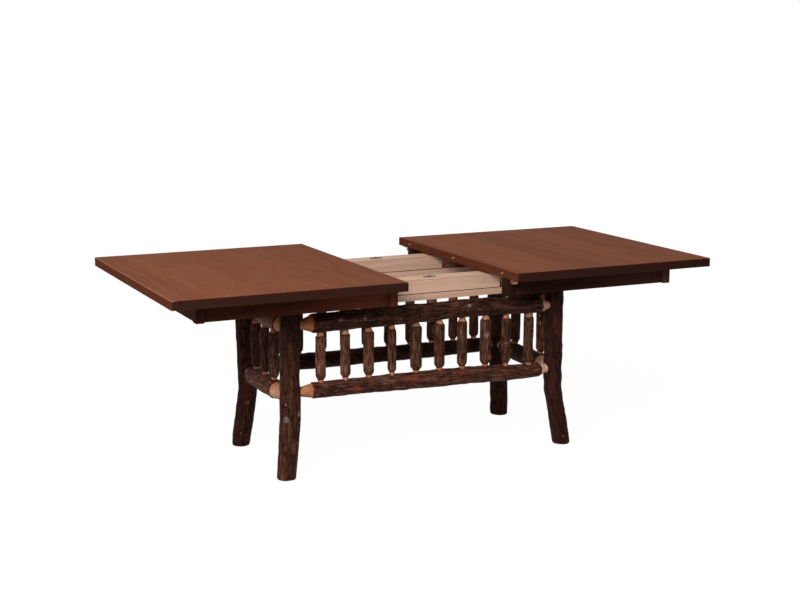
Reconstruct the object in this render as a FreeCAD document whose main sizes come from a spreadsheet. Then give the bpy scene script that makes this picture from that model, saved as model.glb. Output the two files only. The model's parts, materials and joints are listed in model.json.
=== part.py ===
import FreeCAD, Part
import math
import os
import Sketcher

# An extension table: two sliding top halves over a fixed base of hickory logs with the bark on.
# Millimetres. X runs along the table, Y away from its front, Z up from the floor, and the
# origin is on the floor under the middle of the open top.

# name, size, what it is
SIZES = [
    ("table_height", 787, "floor to the face of the top"),
    ("top_width", 1067, "front edge to back edge"),
    ("half_length", 914.5, "one half of the top, seam edge to outer end"),
    ("leaf_opening", 471, "seam to seam as it stands open"),
    ("seam_gap", 0.5, "seam to seam when it is shut"),
    ("top_thickness", 35, "board of the top"),
    ("top_easing", 2.5, "rounding of the top's edges"),
    ("corner_radius", 7, "rounding of the outer corners in plan"),
    ("apron_height", 73, "apron boards and blocks"),
    ("apron_thickness", 20, "apron boards"),
    ("side_inset", 108.5, "top's side edge to the side apron's face"),
    ("end_inset", 116.9, "top's outer end to the blocks' end face"),
    ("right_end_extra", 20, "the right half's apron end further in than the left's"),
    ("end_apron_recess", 6, "end apron's face behind the blocks' end face"),
    ("block_length", 32, "apron blocks, along the table"),
    ("block_proud", 18, "blocks in front of the side apron's face"),
    ("stub_length", 10, "stub tenons on the apron boards"),
    ("stub_thickness", 8, "stub tenons on the apron boards"),
    ("stub_shoulder", 12, "apron's edge to the stub tenon"),
    ("slide_width", 25.4, "each slide member"),
    ("slide_height", 85, "centre slide members"),
    ("slide_bottom", 660, "floor to the centre members"),
    ("running_gap", 0.3, "between sliding faces"),
    ("outer_reach", 664.5, "seam edge to a member's outer end"),
    ("inner_reach", 535.5, "seam edge to a member's inner end"),
    ("centre_overhang", 30, "centre member past a bearer's middle"),
    ("front_pair_y", -236.6, "middle of the front slide pair"),
    ("back_pair_y", 271.4, "middle of the back slide pair"),
    ("foot_height", 25.5, "foot of the centre members, under the moving ones"),
    ("foot_gap", 3, "foot of the centre members to the moving ones"),
    ("tongue_depth", 8, "dovetail tongue"),
    ("tongue_root", 10, "height of the tongue where it meets the member"),
    ("tongue_edge", 16, "height of the tongue at its edge"),
    ("tongue_rise", 38.5, "centre member's bottom to the tongue's middle"),
    ("cleat_length", 60, "cleats between slides and top"),
    ("rack_rise", 64, "centre member's bottom to the rack"),
    ("rack_thickness", 10, "racks, up and down"),
    ("rack_inset", 1.4, "tooth tips behind the member's inner face"),
    ("rack_back", 4, "rack behind its tooth roots"),
    ("rack_reach", 22, "rack past the pinion at each end of the travel"),
    ("tooth_backlash", 0.3, "play between teeth"),
    ("extra_opening", 25.4, "each half past the leaf opening"),
    ("pinion_pin_diameter", 8, "pinion's pin"),
    ("pinion_pin_length", 40, "pinion's pin under its plate"),
    ("pin_head", 3, "head of the pinion's pin"),
    ("pin_running_gap", 0.05, "turning fits, on the radius"),
    ("pinion_plate_length", 50, "plate over the pinion"),
    ("pinion_plate_width", 20, "plate over the pinion"),
    ("pinion_plate_thickness", 2.5, "plate over the pinion"),
    ("glue_gap", 0.1, "around a seated piece"),
    ("dowel_diameter", 9, "alignment dowels in the seam"),
    ("dowel_proud", 10, "dowels out of the right seam"),
    ("dowel_seat", 22, "dowels in the right seam"),
    ("dowel_seat_diameter", 10, "glued end of the dowels"),
    ("dowel_neck", 0.6, "relief where the dowels leave the seam"),
    ("dowel_play", 0.25, "sockets over dowels, on the radius"),
    ("lock_plate_length", 72, "plates of the table locks, along the seam"),
    ("lock_plate_width", 30, "plates of the table locks"),
    ("lock_plate_thickness", 2, "plates of the table locks"),
    ("lock_body_length", 48, "raised bodies of the table locks"),
    ("lock_body_width", 22, "raised bodies of the table locks"),
    ("lock_body_depth", 3, "raised bodies of the table locks"),
    ("stop_length", 17, "stop beside a keeper's stud, along the seam"),
    ("stop_depth", 16, "stop beside a keeper's stud, down from its plate"),
    ("stop_play", 1, "lever's edge to the stop"),
    ("lock_setback", 15, "lever's pivot behind its seam"),
    ("keeper_setback", 20, "keeper's stud behind its seam"),
    ("lock_inset", 51.5, "lock's middle in from the side edge"),
    ("lever_width", 14, "lock lever"),
    ("lever_thickness", 3, "lock lever"),
    ("lever_lip", 5, "lever's hook outside the stud"),
    ("lever_gap", 0.4, "above and below the lever"),
    ("stud_diameter", 6, "pivot and keeper studs"),
    ("stud_head_diameter", 11, "heads of the studs"),
    ("stud_head_thickness", 2.4, "heads of the studs"),
    ("leg_spacing", 1170, "left legs to right legs"),
    ("leg_depth", 519, "front legs to back legs"),
    ("base_shift", -22, "base's middle along the table"),
    ("base_set", -15, "base's middle across the table"),
    ("base_skew", 19, "right legs nearer the front than the left ones"),
    ("leg_diameter", 77, "legs over the bark"),
    ("leg_clearance", 2, "leg tops under the centre members"),
    ("foot_round", 8, "eased edge under a foot"),
    ("upper_rail_height", 605, "floor to the upper rails' middle"),
    ("lower_rail_height", 333, "floor to the lower rails' middle"),
    ("rail_diameter", 72, "rails over the bark"),
    ("rail_tenon", 38, "tenons of the rails"),
    ("tenon_web", 1.5, "wood kept between crossing tenons"),
    ("neck_clearance", 3, "tenon's neck outside the leg"),
    ("peel_length", 50, "peeled cone of a rail"),
    ("bark_step", 3, "length over which the bark begins"),
    ("spindle_diameter", 42, "spindles over the bark"),
    ("spindle_tenon", 22, "tenons of the spindles"),
    ("spindle_seat", 14, "spindle's tenon in its rail"),
    ("spindle_lift", 0.4, "cone's foot over the rail"),
    ("top_peel", 15, "peeled cone at a spindle's top"),
    ("foot_peel", 8, "peeled tip at a spindle's foot"),
    ("foot_swell", 14, "bark closing in above the peeled tip"),
    ("bearer_width", 44, "bearers across the leg tops"),
    ("bearer_thickness", 24, "bearers across the leg tops"),
    ("housing_stop", 8, "front leg's middle to the bearer's end"),
    ("bearer_back_reach", 36, "bearer past the back leg's middle"),
    ("lag_diameter", 6, "lag screws of the bearers"),
    ("lag_length", 40, "lag screws of the bearers"),
    ("lag_set", 8, "bearer's end to the lag screw"),
    ("screw_diameter", 4.4, "wood screws"),
    ("screw_head", 9, "heads of the wood screws"),
    ("head_height", 3.5, "heads of the wood screws"),
    ("counterbore_depth", 8.5, "screw heads up inside the moving members"),
    ("screw_bite", 16, "screws into the top"),
    ("centre_bite", 16, "screws of the centre members into the bearers"),
    ("centre_counterbore", 33, "screw heads down inside the centre members"),
    ("plate_screw_length", 9, "small screws of the plates"),
    ("plate_screw_diameter", 2.6, "small screws of the plates"),
    ("plate_screw_margin", 6, "plate's end to its screw"),
    ("plate_head_height", 1.2, "flush heads of the small screws"),
    ("overrun", 12, "cutters past the face they enter"),
]
TOOTH_COUNT = 16
PRESSURE_ANGLE = 20
ADDENDUM_SHARE = 0.8
DEDENDUM_SHARE = 1.0
FLANK_STEPS = 4
# A new sketch's circle, until its radius is bound.
UNIT = 1.0

# Derived places, as expressions of the sheet.
SEAM = "Sizes.leaf_opening / 2"
OUTER_END = f"({SEAM} + Sizes.half_length)"
UNDERSIDE = "(Sizes.table_height - Sizes.top_thickness)"
APRON_LOW = f"({UNDERSIDE} - Sizes.apron_height)"
APRON_FACE = "(Sizes.top_width / 2 - Sizes.side_inset)"
APRON_BACK = f"({APRON_FACE} - Sizes.apron_thickness)"
BLOCK_FACE = f"({APRON_FACE} + Sizes.block_proud)"
SLIDE_TOP = "(Sizes.slide_bottom + Sizes.slide_height)"
CENTRE_BOTTOM = "Sizes.slide_bottom"
FOOT_TOP = f"({CENTRE_BOTTOM} + Sizes.foot_height)"
MEMBER_LOW = f"({FOOT_TOP} + Sizes.foot_gap)"
INNER_FACE = "(Sizes.slide_width / 2 + Sizes.running_gap)"
MEMBER_MIDDLE = f"({INNER_FACE} + Sizes.slide_width / 2)"
TONGUE_Z = "(Sizes.slide_bottom + Sizes.tongue_rise)"
RACK_LOW = "(Sizes.slide_bottom + Sizes.rack_rise)"
RACK_TOP = f"({RACK_LOW} + Sizes.rack_thickness)"
MODULE = f"(({INNER_FACE} + Sizes.rack_inset) / ({TOOTH_COUNT} / 2 - {ADDENDUM_SHARE}))"
PITCH_RADIUS = f"({MODULE} * {TOOTH_COUNT} / 2)"
PINION_PLATE_FACE = f"({SLIDE_TOP} + Sizes.pinion_plate_thickness)"
ROOT_REACH = f"({PITCH_RADIUS} + {MODULE} * {DEDENDUM_SHARE})"
PINION_REACH = f"({PITCH_RADIUS} + {MODULE} * {ADDENDUM_SHARE})"
RACK_REACH = f"({ROOT_REACH} + Sizes.rack_back)"
LOCK_Y = "(Sizes.top_width / 2 - Sizes.lock_inset)"
LEVER_REACH = "(Sizes.lock_setback + Sizes.keeper_setback + Sizes.seam_gap)"
PLATE_LOW = f"({UNDERSIDE} - Sizes.lock_plate_thickness)"
LOCK_FACE = f"({PLATE_LOW} - Sizes.lock_body_depth)"
LEVER_TOP = f"({LOCK_FACE} - Sizes.lever_gap)"
STUD_HEAD_TOP = f"({LEVER_TOP} - Sizes.lever_thickness - Sizes.lever_gap)"
LEG_TOP = "(Sizes.slide_bottom - Sizes.leg_clearance)"
BEARER_LOW = f"({CENTRE_BOTTOM} - Sizes.bearer_thickness)"
TENON_STOP = "(Sizes.rail_tenon / 2 + Sizes.tenon_web)"

# Where cleats, dowels and spindles stand.
CLEAT_SHARES = (0.1, 0.38, 0.69)
DOWEL_SHARES = (-0.388, 0.0, 0.388)
# Each socket's depth past the dowel's end, in seam gaps.
SOCKET_SPARES = (4, 6, 8)
FRONT_SPINDLE_SHARES = (-0.393, -0.305, -0.2205, -0.135, -0.0453, 0.0427, 0.1299, 0.2197, 0.3009, 0.3923)
BACK_SPINDLE_SHARES = (-0.3829, -0.2949, -0.206, -0.1179, -0.0299, 0.0581, 0.1462, 0.2359, 0.3248, 0.4128)
LEFT_SPINDLE_SHARES = (-0.1503, 0.0443, 0.2408)
RIGHT_SPINDLE_SHARES = (-0.2697, -0.0655, 0.1407)
FRONT_GIRTH_SHARES = (0.976, 0.952, 1.048, 0.833, 1.12, 1.0, 1.0, 1.07, 0.905, 1.0)
BACK_GIRTH_SHARES = (1.0, 0.93, 1.05, 0.95, 1.02, 0.9, 1.0, 1.06, 0.96, 1.0)
END_GIRTH_SHARES = (1.0, 0.95, 1.04)

# Each leg: side along the table, side across it, girth and lean at the heights of LEG_LEVELS.
LEG_LEVELS = (
    "0",
    "Sizes.foot_round",
    "Sizes.lower_rail_height * 0.38",
    "Sizes.lower_rail_height * 0.72",
    "Sizes.lower_rail_height",
    "(Sizes.lower_rail_height + Sizes.upper_rail_height) / 2",
    "Sizes.upper_rail_height",
    LEG_TOP,
)
LOWER_LEVEL = 4
UPPER_LEVEL = 6
LEG_SHARES = {
    "leg_front_left": (-1, -1, (0.93, 0.93, 0.93, 0.95, 0.97, 1.0, 1.05, 1.07),
                       (-0.27, -0.26, -0.125, -0.015, -0.012, 0.026, 0.06, 0.075)),
    "leg_back_left": (-1, 1, (0.97, 0.97, 0.96, 0.97, 0.98, 1.0, 1.0, 1.0),
                      (-0.3, -0.3, -0.03, 0.18, 0.115, 0.06, 0.04, 0.03)),
    "leg_front_right": (1, -1, (0.97, 0.97, 0.97, 0.98, 0.98, 0.98, 0.98, 0.98),
                        (0.52, 0.5, 0.19, -0.05, -0.09, -0.09, -0.08, -0.08)),
    "leg_back_right": (1, 1, (1.0, 1.0, 1.0, 1.0, 1.0, 1.0, 1.0, 1.0),
                       (0.43, 0.43, 0.41, 0.31, 0.22, 0.17, 0.13, 0.12)),
}

# Each rail between legs: its legs, level, the drop of its two ends and the peel of both, then
# its girth and rise at the spindles, as shares of the rail's diameter, from left or front.
RAIL_SHARES = {
    "rail_front_upper": ("leg_front_left", "leg_front_right", UPPER_LEVEL, (-0.01, -0.1), (1.0, 0.6),
                         (1.04, 1.04, 1.03, 1.0, 0.97, 0.96, 0.96, 0.97, 1.0, 0.95),
                         (0.0, 0.0, 0.01, 0.02, 0.04, 0.06, 0.08, 0.07, 0.03, -0.02)),
    "rail_front_lower": ("leg_front_left", "leg_front_right", LOWER_LEVEL, (0.1, -0.03), (0.94, 0.5),
                         (0.89, 0.9, 0.92, 0.94, 0.96, 0.97, 0.97, 0.99, 0.94, 0.83),
                         (0.11, 0.11, 0.1, 0.09, 0.08, 0.06, 0.03, 0.0, -0.06, -0.1)),
    "rail_back_upper": ("leg_back_left", "leg_back_right", UPPER_LEVEL, (0.0, 0.0), (0.8, 0.8),
                        (0.95, 0.97, 1.0, 1.0, 0.99, 0.98, 0.97, 0.95, 0.94, 0.93),
                        (0.0, 0.01, 0.02, 0.02, 0.03, 0.03, 0.02, 0.01, 0.0, 0.0)),
    "rail_back_lower": ("leg_back_left", "leg_back_right", LOWER_LEVEL, (-0.03, -0.06), (0.8, 0.8),
                        (0.92, 0.94, 0.96, 0.97, 0.97, 0.96, 0.95, 0.94, 0.92, 0.9),
                        (-0.03, -0.03, -0.04, -0.05, -0.06, -0.07, -0.08, -0.08, -0.07, -0.06)),
    "rail_left_upper": ("leg_front_left", "leg_back_left", UPPER_LEVEL, (-0.2, -0.2), (1.2, 1.0),
                        (0.96, 0.98, 0.97), (-0.2, -0.2, -0.2)),
    "rail_left_lower": ("leg_front_left", "leg_back_left", LOWER_LEVEL, (-0.22, -0.22), (2.1, 1.0),
                        (1.02, 1.06, 1.04), (-0.22, -0.22, -0.22)),
    "rail_right_upper": ("leg_front_right", "leg_back_right", UPPER_LEVEL, (-0.125, -0.125), (1.0, 1.0),
                         (1.0, 1.0, 0.98), (-0.125, -0.125, -0.125)),
    "rail_right_lower": ("leg_front_right", "leg_back_right", LOWER_LEVEL, (-0.08, -0.08), (1.2, 1.0),
                         (1.07, 1.05, 1.03), (-0.08, -0.08, -0.08)),
}
END_LINE_SHARE = 0.04
CONE_SHARE = 0.86
TOP_CONE_SHARE = 0.9
TIP_SHARE = 0.66
PINION_SHARE = 0.92


def fill_sheet(doc):
    """Put the driving sizes in a spreadsheet, each under its alias."""
    sheet = doc.addObject("Spreadsheet::Sheet", "Sizes")
    for row, (alias, value, meaning) in enumerate(SIZES, start=1):
        sheet.set(f"A{row}", meaning)
        sheet.set(f"B{row}", str(value))
        sheet.setAlias(f"B{row}", alias)
    doc.recompute()
    return sheet


def bind(item, sizes):
    """Tie each property in the table to its expression."""
    for path, expression in sizes.items():
        item.setExpression(path, expression)


def value_of(item, expression):
    """Work an expression of the sheet out as a number."""
    return float(item.evalExpression(expression))


def new_body(doc, label):
    """Start one sub-part."""
    body = doc.addObject("PartDesign::Body", label)
    body.Label = label
    return body


def attach(body, item, role, right, up, out):
    """Lay an item on one of its body's own planes, moved right, up and out of it."""
    plane = next(entry for entry in body.Origin.OriginFeatures if entry.Role == role)
    item.AttachmentSupport = (plane, [""])
    item.MapMode = "FlatFace"
    bind(item, {".AttachmentOffset.Base.x": right,
                ".AttachmentOffset.Base.y": up,
                ".AttachmentOffset.Base.z": out})


def add_sketch(body, name, role, right="0", up="0", out="0"):
    """Add an empty sketch on one of the body's planes."""
    sketch = body.newObject("Sketcher::SketchObject", name)
    attach(body, sketch, role, right, up, out)
    return sketch


def add_outline(sketch, points):
    """Draw a closed outline through points given as expressions."""
    corners = [FreeCAD.Vector(value_of(sketch, x), value_of(sketch, y)) for x, y in points]
    count = len(corners)
    for index, corner in enumerate(corners):
        sketch.addGeometry(Part.LineSegment(corner, corners[(index + 1) % count]))
    for index in range(count):
        sketch.addConstraint(Sketcher.Constraint("Coincident", index, 2, (index + 1) % count, 1))
    for index, (x, y) in enumerate(points):
        for kind, place in (("DistanceX", x), ("DistanceY", y)):
            rule = Sketcher.Constraint(kind, -1, 1, index, 1, value_of(sketch, place))
            sketch.setExpression(f"Constraints[{sketch.addConstraint(rule)}]", place)


def add_circle(sketch, radius):
    """Draw a circle about the sketch's origin."""
    sketch.addGeometry(Part.Circle(FreeCAD.Vector(), FreeCAD.Vector(0, 0, 1), UNIT))
    sketch.addConstraint(Sketcher.Constraint("Coincident", 0, 3, -1, 1))
    rule = sketch.addConstraint(Sketcher.Constraint("Radius", 0, UNIT))
    sketch.setExpression(f"Constraints[{rule}]", radius)


def add_pad(body, sketch, length):
    """Raise a sketch by a length."""
    pad = body.newObject("PartDesign::Pad", f"{sketch.Name}_pad")
    pad.Profile = sketch
    pad.setExpression("Length", length)
    return pad


def box_corners(x_low, x_high, y_low, y_high):
    """Corners of a rectangle."""
    return [(x_low, y_low), (x_high, y_low), (x_high, y_high), (x_low, y_high)]


def add_block(body, name, x_span, y_span, z_span):
    """Pad a rectangular block between three pairs of places."""
    sketch = add_sketch(body, name, "XY_Plane", out=z_span[0])
    add_outline(sketch, box_corners(*x_span, *y_span))
    add_pad(body, sketch, f"{z_span[1]} - {z_span[0]}")


def cut_block(body, name, x_span, y_span, z_span):
    """Cut a rectangular space between three pairs of places."""
    cutter = body.newObject("PartDesign::SubtractiveBox", name)
    attach(body, cutter, "XY_Plane", x_span[0], y_span[0], z_span[0])
    bind(cutter, {"Length": f"{x_span[1]} - {x_span[0]}",
                  "Width": f"{y_span[1]} - {y_span[0]}",
                  "Height": f"{z_span[1]} - {z_span[0]}"})


def cut_bore(body, name, role, right, up, out, radius, depth):
    """Cut a round hole that leaves one of the body's planes squarely."""
    cutter = body.newObject("PartDesign::SubtractiveCylinder", name)
    attach(body, cutter, role, right, up, out)
    bind(cutter, {"Radius": radius, "Height": depth})


def add_turning(body, name, role, right, up, out, points):
    """Turn an outline of (radius, height) points about an upright axis."""
    sketch = add_sketch(body, name, role, right, up, out)
    add_outline(sketch, points)
    turning = body.newObject("PartDesign::Revolution", f"{name}_turning")
    turning.Profile = sketch
    turning.ReferenceAxis = (sketch, ["V_Axis"])


def add_group(doc, label, pieces):
    """Keep alike pieces together as one sub-part of separate solids."""
    group = doc.addObject("Part::Compound", label)
    group.Label = label
    group.Links = pieces
    return group


def side_of(sign, place):
    """A place on the left or front (-1) or right or back (1)."""
    return f"({sign} * {place})"


def span_of(sign, near, far):
    """Two places on one side, low one first."""
    places = [side_of(sign, near), side_of(sign, far)]
    return places if sign > 0 else places[::-1]


def leg_place(leg, level):
    """Where a leg's middle is at one of its levels, and its radius there."""
    along, across, girths, leans = LEG_SHARES[leg]
    x = (f"(Sizes.base_shift + {along} * Sizes.leg_spacing / 2"
         f" + Sizes.leg_diameter * {leans[level]})")
    y = f"(Sizes.base_set + {across} * Sizes.leg_depth / 2 - {along} * Sizes.base_skew / 2)"
    return x, y, f"(Sizes.leg_diameter / 2 * {girths[level]})"


def rail_height(name, rise_share):
    """Height of a rail's middle."""
    level = "lower" if RAIL_SHARES[name][2] == LOWER_LEVEL else "upper"
    return f"(Sizes.{level}_rail_height + Sizes.rail_diameter * {rise_share})"


def long_line(across, share):
    """A place on the front or back line of the base, by its share of the leg spacing."""
    x = f"(Sizes.base_shift + Sizes.leg_spacing * {share})"
    y = f"(Sizes.base_set + {across} * Sizes.leg_depth / 2 - Sizes.base_skew * {share})"
    return x, y


def short_line(along, share):
    """A place on the left or right line of the base, by its share of the leg depth."""
    x = (f"(Sizes.base_shift + {along} * Sizes.leg_spacing / 2"
         f" + Sizes.leg_diameter * {END_LINE_SHARE})")
    y = f"(Sizes.base_set - {along} * Sizes.base_skew / 2 + Sizes.leg_depth * {share})"
    return x, y


def spindle_lines():
    """The four sides of the base: rail names, spindle places and girth shares."""
    return {
        "front": ([long_line(-1, share) for share in FRONT_SPINDLE_SHARES], FRONT_GIRTH_SHARES),
        "back": ([long_line(1, share) for share in BACK_SPINDLE_SHARES], BACK_GIRTH_SHARES),
        "left": ([short_line(-1, share) for share in LEFT_SPINDLE_SHARES], END_GIRTH_SHARES),
        "right": ([short_line(1, share) for share in RIGHT_SPINDLE_SHARES], END_GIRTH_SHARES),
    }


def add_log(body, role, rings):
    """Loft a log through round sections given as (right, up, out, radius)."""
    sketches = []
    for index, (right, up, out, radius) in enumerate(rings):
        sketch = add_sketch(body, f"{body.Name}_ring_{index}", role, right, up, out)
        add_circle(sketch, radius)
        sketches.append(sketch)
    loft = body.newObject("PartDesign::AdditiveLoft", f"{body.Name}_log")
    loft.Profile = sketches[0]
    loft.Sections = sketches[1:]
    loft.Ruled = True


def make_leg(doc, name):
    """A crooked log leg with a mortise for each rail and a housing for its bearer."""
    body = new_body(doc, name)
    rings = []
    for level, height in enumerate(LEG_LEVELS):
        x, y, radius = leg_place(name, level)
        if level == 0:
            radius = f"({radius} - Sizes.foot_round)"
        rings.append((x, y, height, radius))
    add_log(body, "XY_Plane", rings)
    bore = "(Sizes.rail_tenon / 2 + Sizes.glue_gap)"
    for rail, (first, last, level, ends, peels, girths, rises) in RAIL_SHARES.items():
        if name not in (first, last):
            continue
        inward = 1 if name == first else -1
        x, y, radius = leg_place(name, level)
        height = rail_height(rail, ends[0] if name == first else ends[1])
        start = f"({TENON_STOP} - Sizes.glue_gap)"
        depth = f"({radius} - {TENON_STOP} + Sizes.glue_gap + Sizes.overrun)"
        if rail.split("_")[1] in ("front", "back"):
            out = x + (f" + {start}" if inward > 0 else f" - {start} - {depth}")
            cut_bore(body, f"{name}_{rail}_mortise", "YZ_Plane", y, height, out, bore, depth)
        else:
            out = f"-({y})" + (f" - {start} - {depth}" if inward > 0 else f" + {start}")
            cut_bore(body, f"{name}_{rail}_mortise", "XZ_Plane", x, height, out, bore, depth)
    along, across = LEG_SHARES[name][:2]
    middle = short_line(along, 0)[0]
    half = "(Sizes.bearer_width / 2 + Sizes.glue_gap)"
    y = leg_place(name, UPPER_LEVEL)[1]
    past = "(Sizes.leg_diameter / 2 + Sizes.overrun)"
    start = f"({y} - {past})" if across > 0 else f"({y} + Sizes.housing_stop - Sizes.glue_gap)"
    cut_block(body, f"{name}_housing", (f"({middle} - {half})", f"({middle} + {half})"),
              (start, f"({y} + {past})"), (BEARER_LOW, f"({LEG_TOP} + Sizes.overrun)"))
    cut_bore(body, f"{name}_lag_hole", "XY_Plane", middle, lag_place(along, across),
             f"({CENTRE_BOTTOM} - Sizes.lag_length)", "(Sizes.lag_diameter / 2)",
             "(Sizes.lag_length)")
    return body


def make_rail(doc, name):
    """A log rail: a tenon, a peeled cone and the bark at each end, and mortises for its spindles."""
    first, last, level, ends, peels, girths, rises = RAIL_SHARES[name]
    side, height_name = name.split("_")[1:]
    lengthwise = side in ("front", "back")
    places = spindle_lines()[side][0]
    body = new_body(doc, name)
    stations = []
    for leg, inward, end, peel, girth in ((first, 1, ends[0], peels[0], girths[0]),
                                          (last, -1, ends[1], peels[1], girths[-1])):
        x, y, leg_radius = leg_place(leg, level)
        line_x, line_y = places[0] if inward > 0 else places[-1]
        along, across = (x, y) if lengthwise else (y, x)
        line = line_y if lengthwise else line_x
        neck = f"({leg_radius} + Sizes.neck_clearance)"
        bark = f"({neck} + Sizes.peel_length * {peel})"
        up = rail_height(name, end)
        log_radius = f"(Sizes.rail_diameter / 2 * {girth})"
        rise = rail_height(name, rises[0] if inward > 0 else rises[-1])
        group = [
            (f"({along} + {inward} * {TENON_STOP})", across, up, "(Sizes.rail_tenon / 2)"),
            (f"({along} + {inward} * {neck})", across, up, "(Sizes.rail_tenon / 2)"),
            (f"({along} + {inward} * {bark})", f"(({across} + {line}) / 2)", f"(({up} + {rise}) / 2)",
             f"({log_radius} * {CONE_SHARE})"),
            (f"({along} + {inward} * ({bark} + Sizes.bark_step))", f"(({across} + {line}) / 2)",
             f"(({up} + {rise}) / 2)", log_radius),
        ]
        stations.append(group if inward > 0 else group[::-1])
    middle = []
    for (x, y), girth, rise in zip(places, girths, rises):
        along, across = (x, y) if lengthwise else (y, x)
        middle.append((along, across, rail_height(name, rise), f"(Sizes.rail_diameter / 2 * {girth})"))
    rings = []
    for along, across, up, radius in stations[0] + middle + stations[1]:
        rings.append((across, up, along if lengthwise else f"-({along})", radius))
    add_log(body, "YZ_Plane" if lengthwise else "XZ_Plane", rings)
    for index, ((x, y), girth, rise) in enumerate(zip(places, girths, rises), start=1):
        up = rail_height(name, rise)
        reach = f"(Sizes.rail_diameter / 2 * {girth})"
        depth = "(Sizes.spindle_seat + Sizes.glue_gap + Sizes.overrun)"
        base = (f"{up} - {reach} - Sizes.overrun" if height_name == "upper"
                else f"{up} + {reach} - Sizes.spindle_seat - Sizes.glue_gap")
        cut_bore(body, f"{name}_mortise_{index}", "XY_Plane", x, y, base,
                 "(Sizes.spindle_tenon / 2 + Sizes.glue_gap)", depth)
    return body


def make_spindle(doc, name, side, index):
    """A spindle with the bark on, peeled to a tenon at its foot and its top."""
    places, girths = spindle_lines()[side]
    x, y = places[index]
    lower, upper = f"rail_{side}_lower", f"rail_{side}_upper"
    surface = {}
    for rail, sign in ((lower, 1), (upper, -1)):
        girth, rise = RAIL_SHARES[rail][5][index], RAIL_SHARES[rail][6][index]
        surface[rail] = f"({rail_height(rail, rise)} + {sign} * Sizes.rail_diameter / 2 * {girth})"
    tenon = "(Sizes.spindle_tenon / 2)"
    full = f"(Sizes.spindle_diameter / 2 * {girths[index]})"
    foot = f"({surface[lower]} + Sizes.spindle_lift)"
    head = f"({surface[upper]} - Sizes.spindle_lift)"
    points = [
        ("0", f"{surface[lower]} - Sizes.spindle_seat"),
        (tenon, f"{surface[lower]} - Sizes.spindle_seat"),
        (tenon, foot),
        (f"{full} * {TIP_SHARE}", f"{foot} + Sizes.foot_peel"),
        (full, f"{foot} + Sizes.foot_peel + Sizes.foot_swell"),
        (full, f"{head} - Sizes.top_peel - Sizes.bark_step"),
        (f"{full} * {TOP_CONE_SHARE}", f"{head} - Sizes.top_peel"),
        (tenon, head),
        (tenon, f"{surface[upper]} + Sizes.spindle_seat"),
        ("0", f"{surface[upper]} + Sizes.spindle_seat"),
    ]
    body = new_body(doc, name)
    add_turning(body, f"{name}_outline", "XZ_Plane", x, "0", f"-({y})", points)
    return body


def lag_place(along, across):
    """Place across the table of the lag screw that holds a bearer on a leg."""
    leg = next(name for name, row in LEG_SHARES.items() if row[:2] == (along, across))
    y = leg_place(leg, UPPER_LEVEL)[1]
    return f"({y} - {across} * (Sizes.housing_stop + Sizes.lag_set))"


def make_bearer(doc, name, along):
    """A bearer housed in two leg tops, drilled for its screws."""
    middle = short_line(along, 0)[0]
    ends = []
    for across, reach in ((-1, "Sizes.housing_stop"), (1, "Sizes.bearer_back_reach")):
        leg = next(key for key, row in LEG_SHARES.items() if row[:2] == (along, across))
        ends.append(f"({leg_place(leg, UPPER_LEVEL)[1]} + {reach})")
    body = new_body(doc, name)
    add_block(body, f"{name}_board",
              (f"({middle} - Sizes.bearer_width / 2)", f"({middle} + Sizes.bearer_width / 2)"),
              ends, (BEARER_LOW, CENTRE_BOTTOM))
    for across in (-1, 1):
        cut_bore(body, f"{name}_lag_{across + 1}", "XY_Plane", middle, lag_place(along, across),
                 f"{BEARER_LOW} - Sizes.overrun", "(Sizes.lag_diameter / 2)",
                 "(Sizes.bearer_thickness + Sizes.overrun * 2)")
        cut_bore(body, f"{name}_lag_seat_{across + 1}", "XY_Plane", middle, lag_place(along, across),
                 f"{CENTRE_BOTTOM} - Sizes.head_height", "(Sizes.lag_diameter)",
                 "(Sizes.head_height + Sizes.overrun)")
    for index, pair in enumerate(("Sizes.front_pair_y", "Sizes.back_pair_y")):
        cut_bore(body, f"{name}_screw_{index}", "XY_Plane", middle, pair,
                 f"{CENTRE_BOTTOM} - Sizes.centre_bite", "(Sizes.screw_diameter / 2)",
                 "(Sizes.centre_bite + Sizes.overrun)")
    return body


def add_screw(doc, name, x, y, top, length, diameter, head):
    """A countersunk screw that goes down from its top."""
    shank, rim = f"({diameter} / 2)", f"({head} / 2)"
    neck = f"({top} - Sizes.head_height)"
    tip = f"({top} - {length})"
    body = new_body(doc, name)
    add_turning(body, f"{name}_outline", "XZ_Plane", x, "0", f"-({y})",
                [("0", tip), (shank, tip), (shank, neck), (rim, top), ("0", top)])
    return body


def add_plate_screw(doc, name, x, y, face, sign):
    """A small screw flush with the face of its plate, pointing up (1) or down (-1)."""
    shank, rim = "(Sizes.plate_screw_diameter / 2)", "Sizes.plate_screw_diameter"
    neck = f"({face} + {sign} * Sizes.plate_head_height)"
    tip = f"({face} + {sign} * Sizes.plate_screw_length)"
    body = new_body(doc, name)
    add_turning(body, f"{name}_outline", "XZ_Plane", x, "0", f"-({y})",
                [("0", face), (rim, face), (rim, neck), (shank, neck), (shank, tip), ("0", tip)])
    return body


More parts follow.
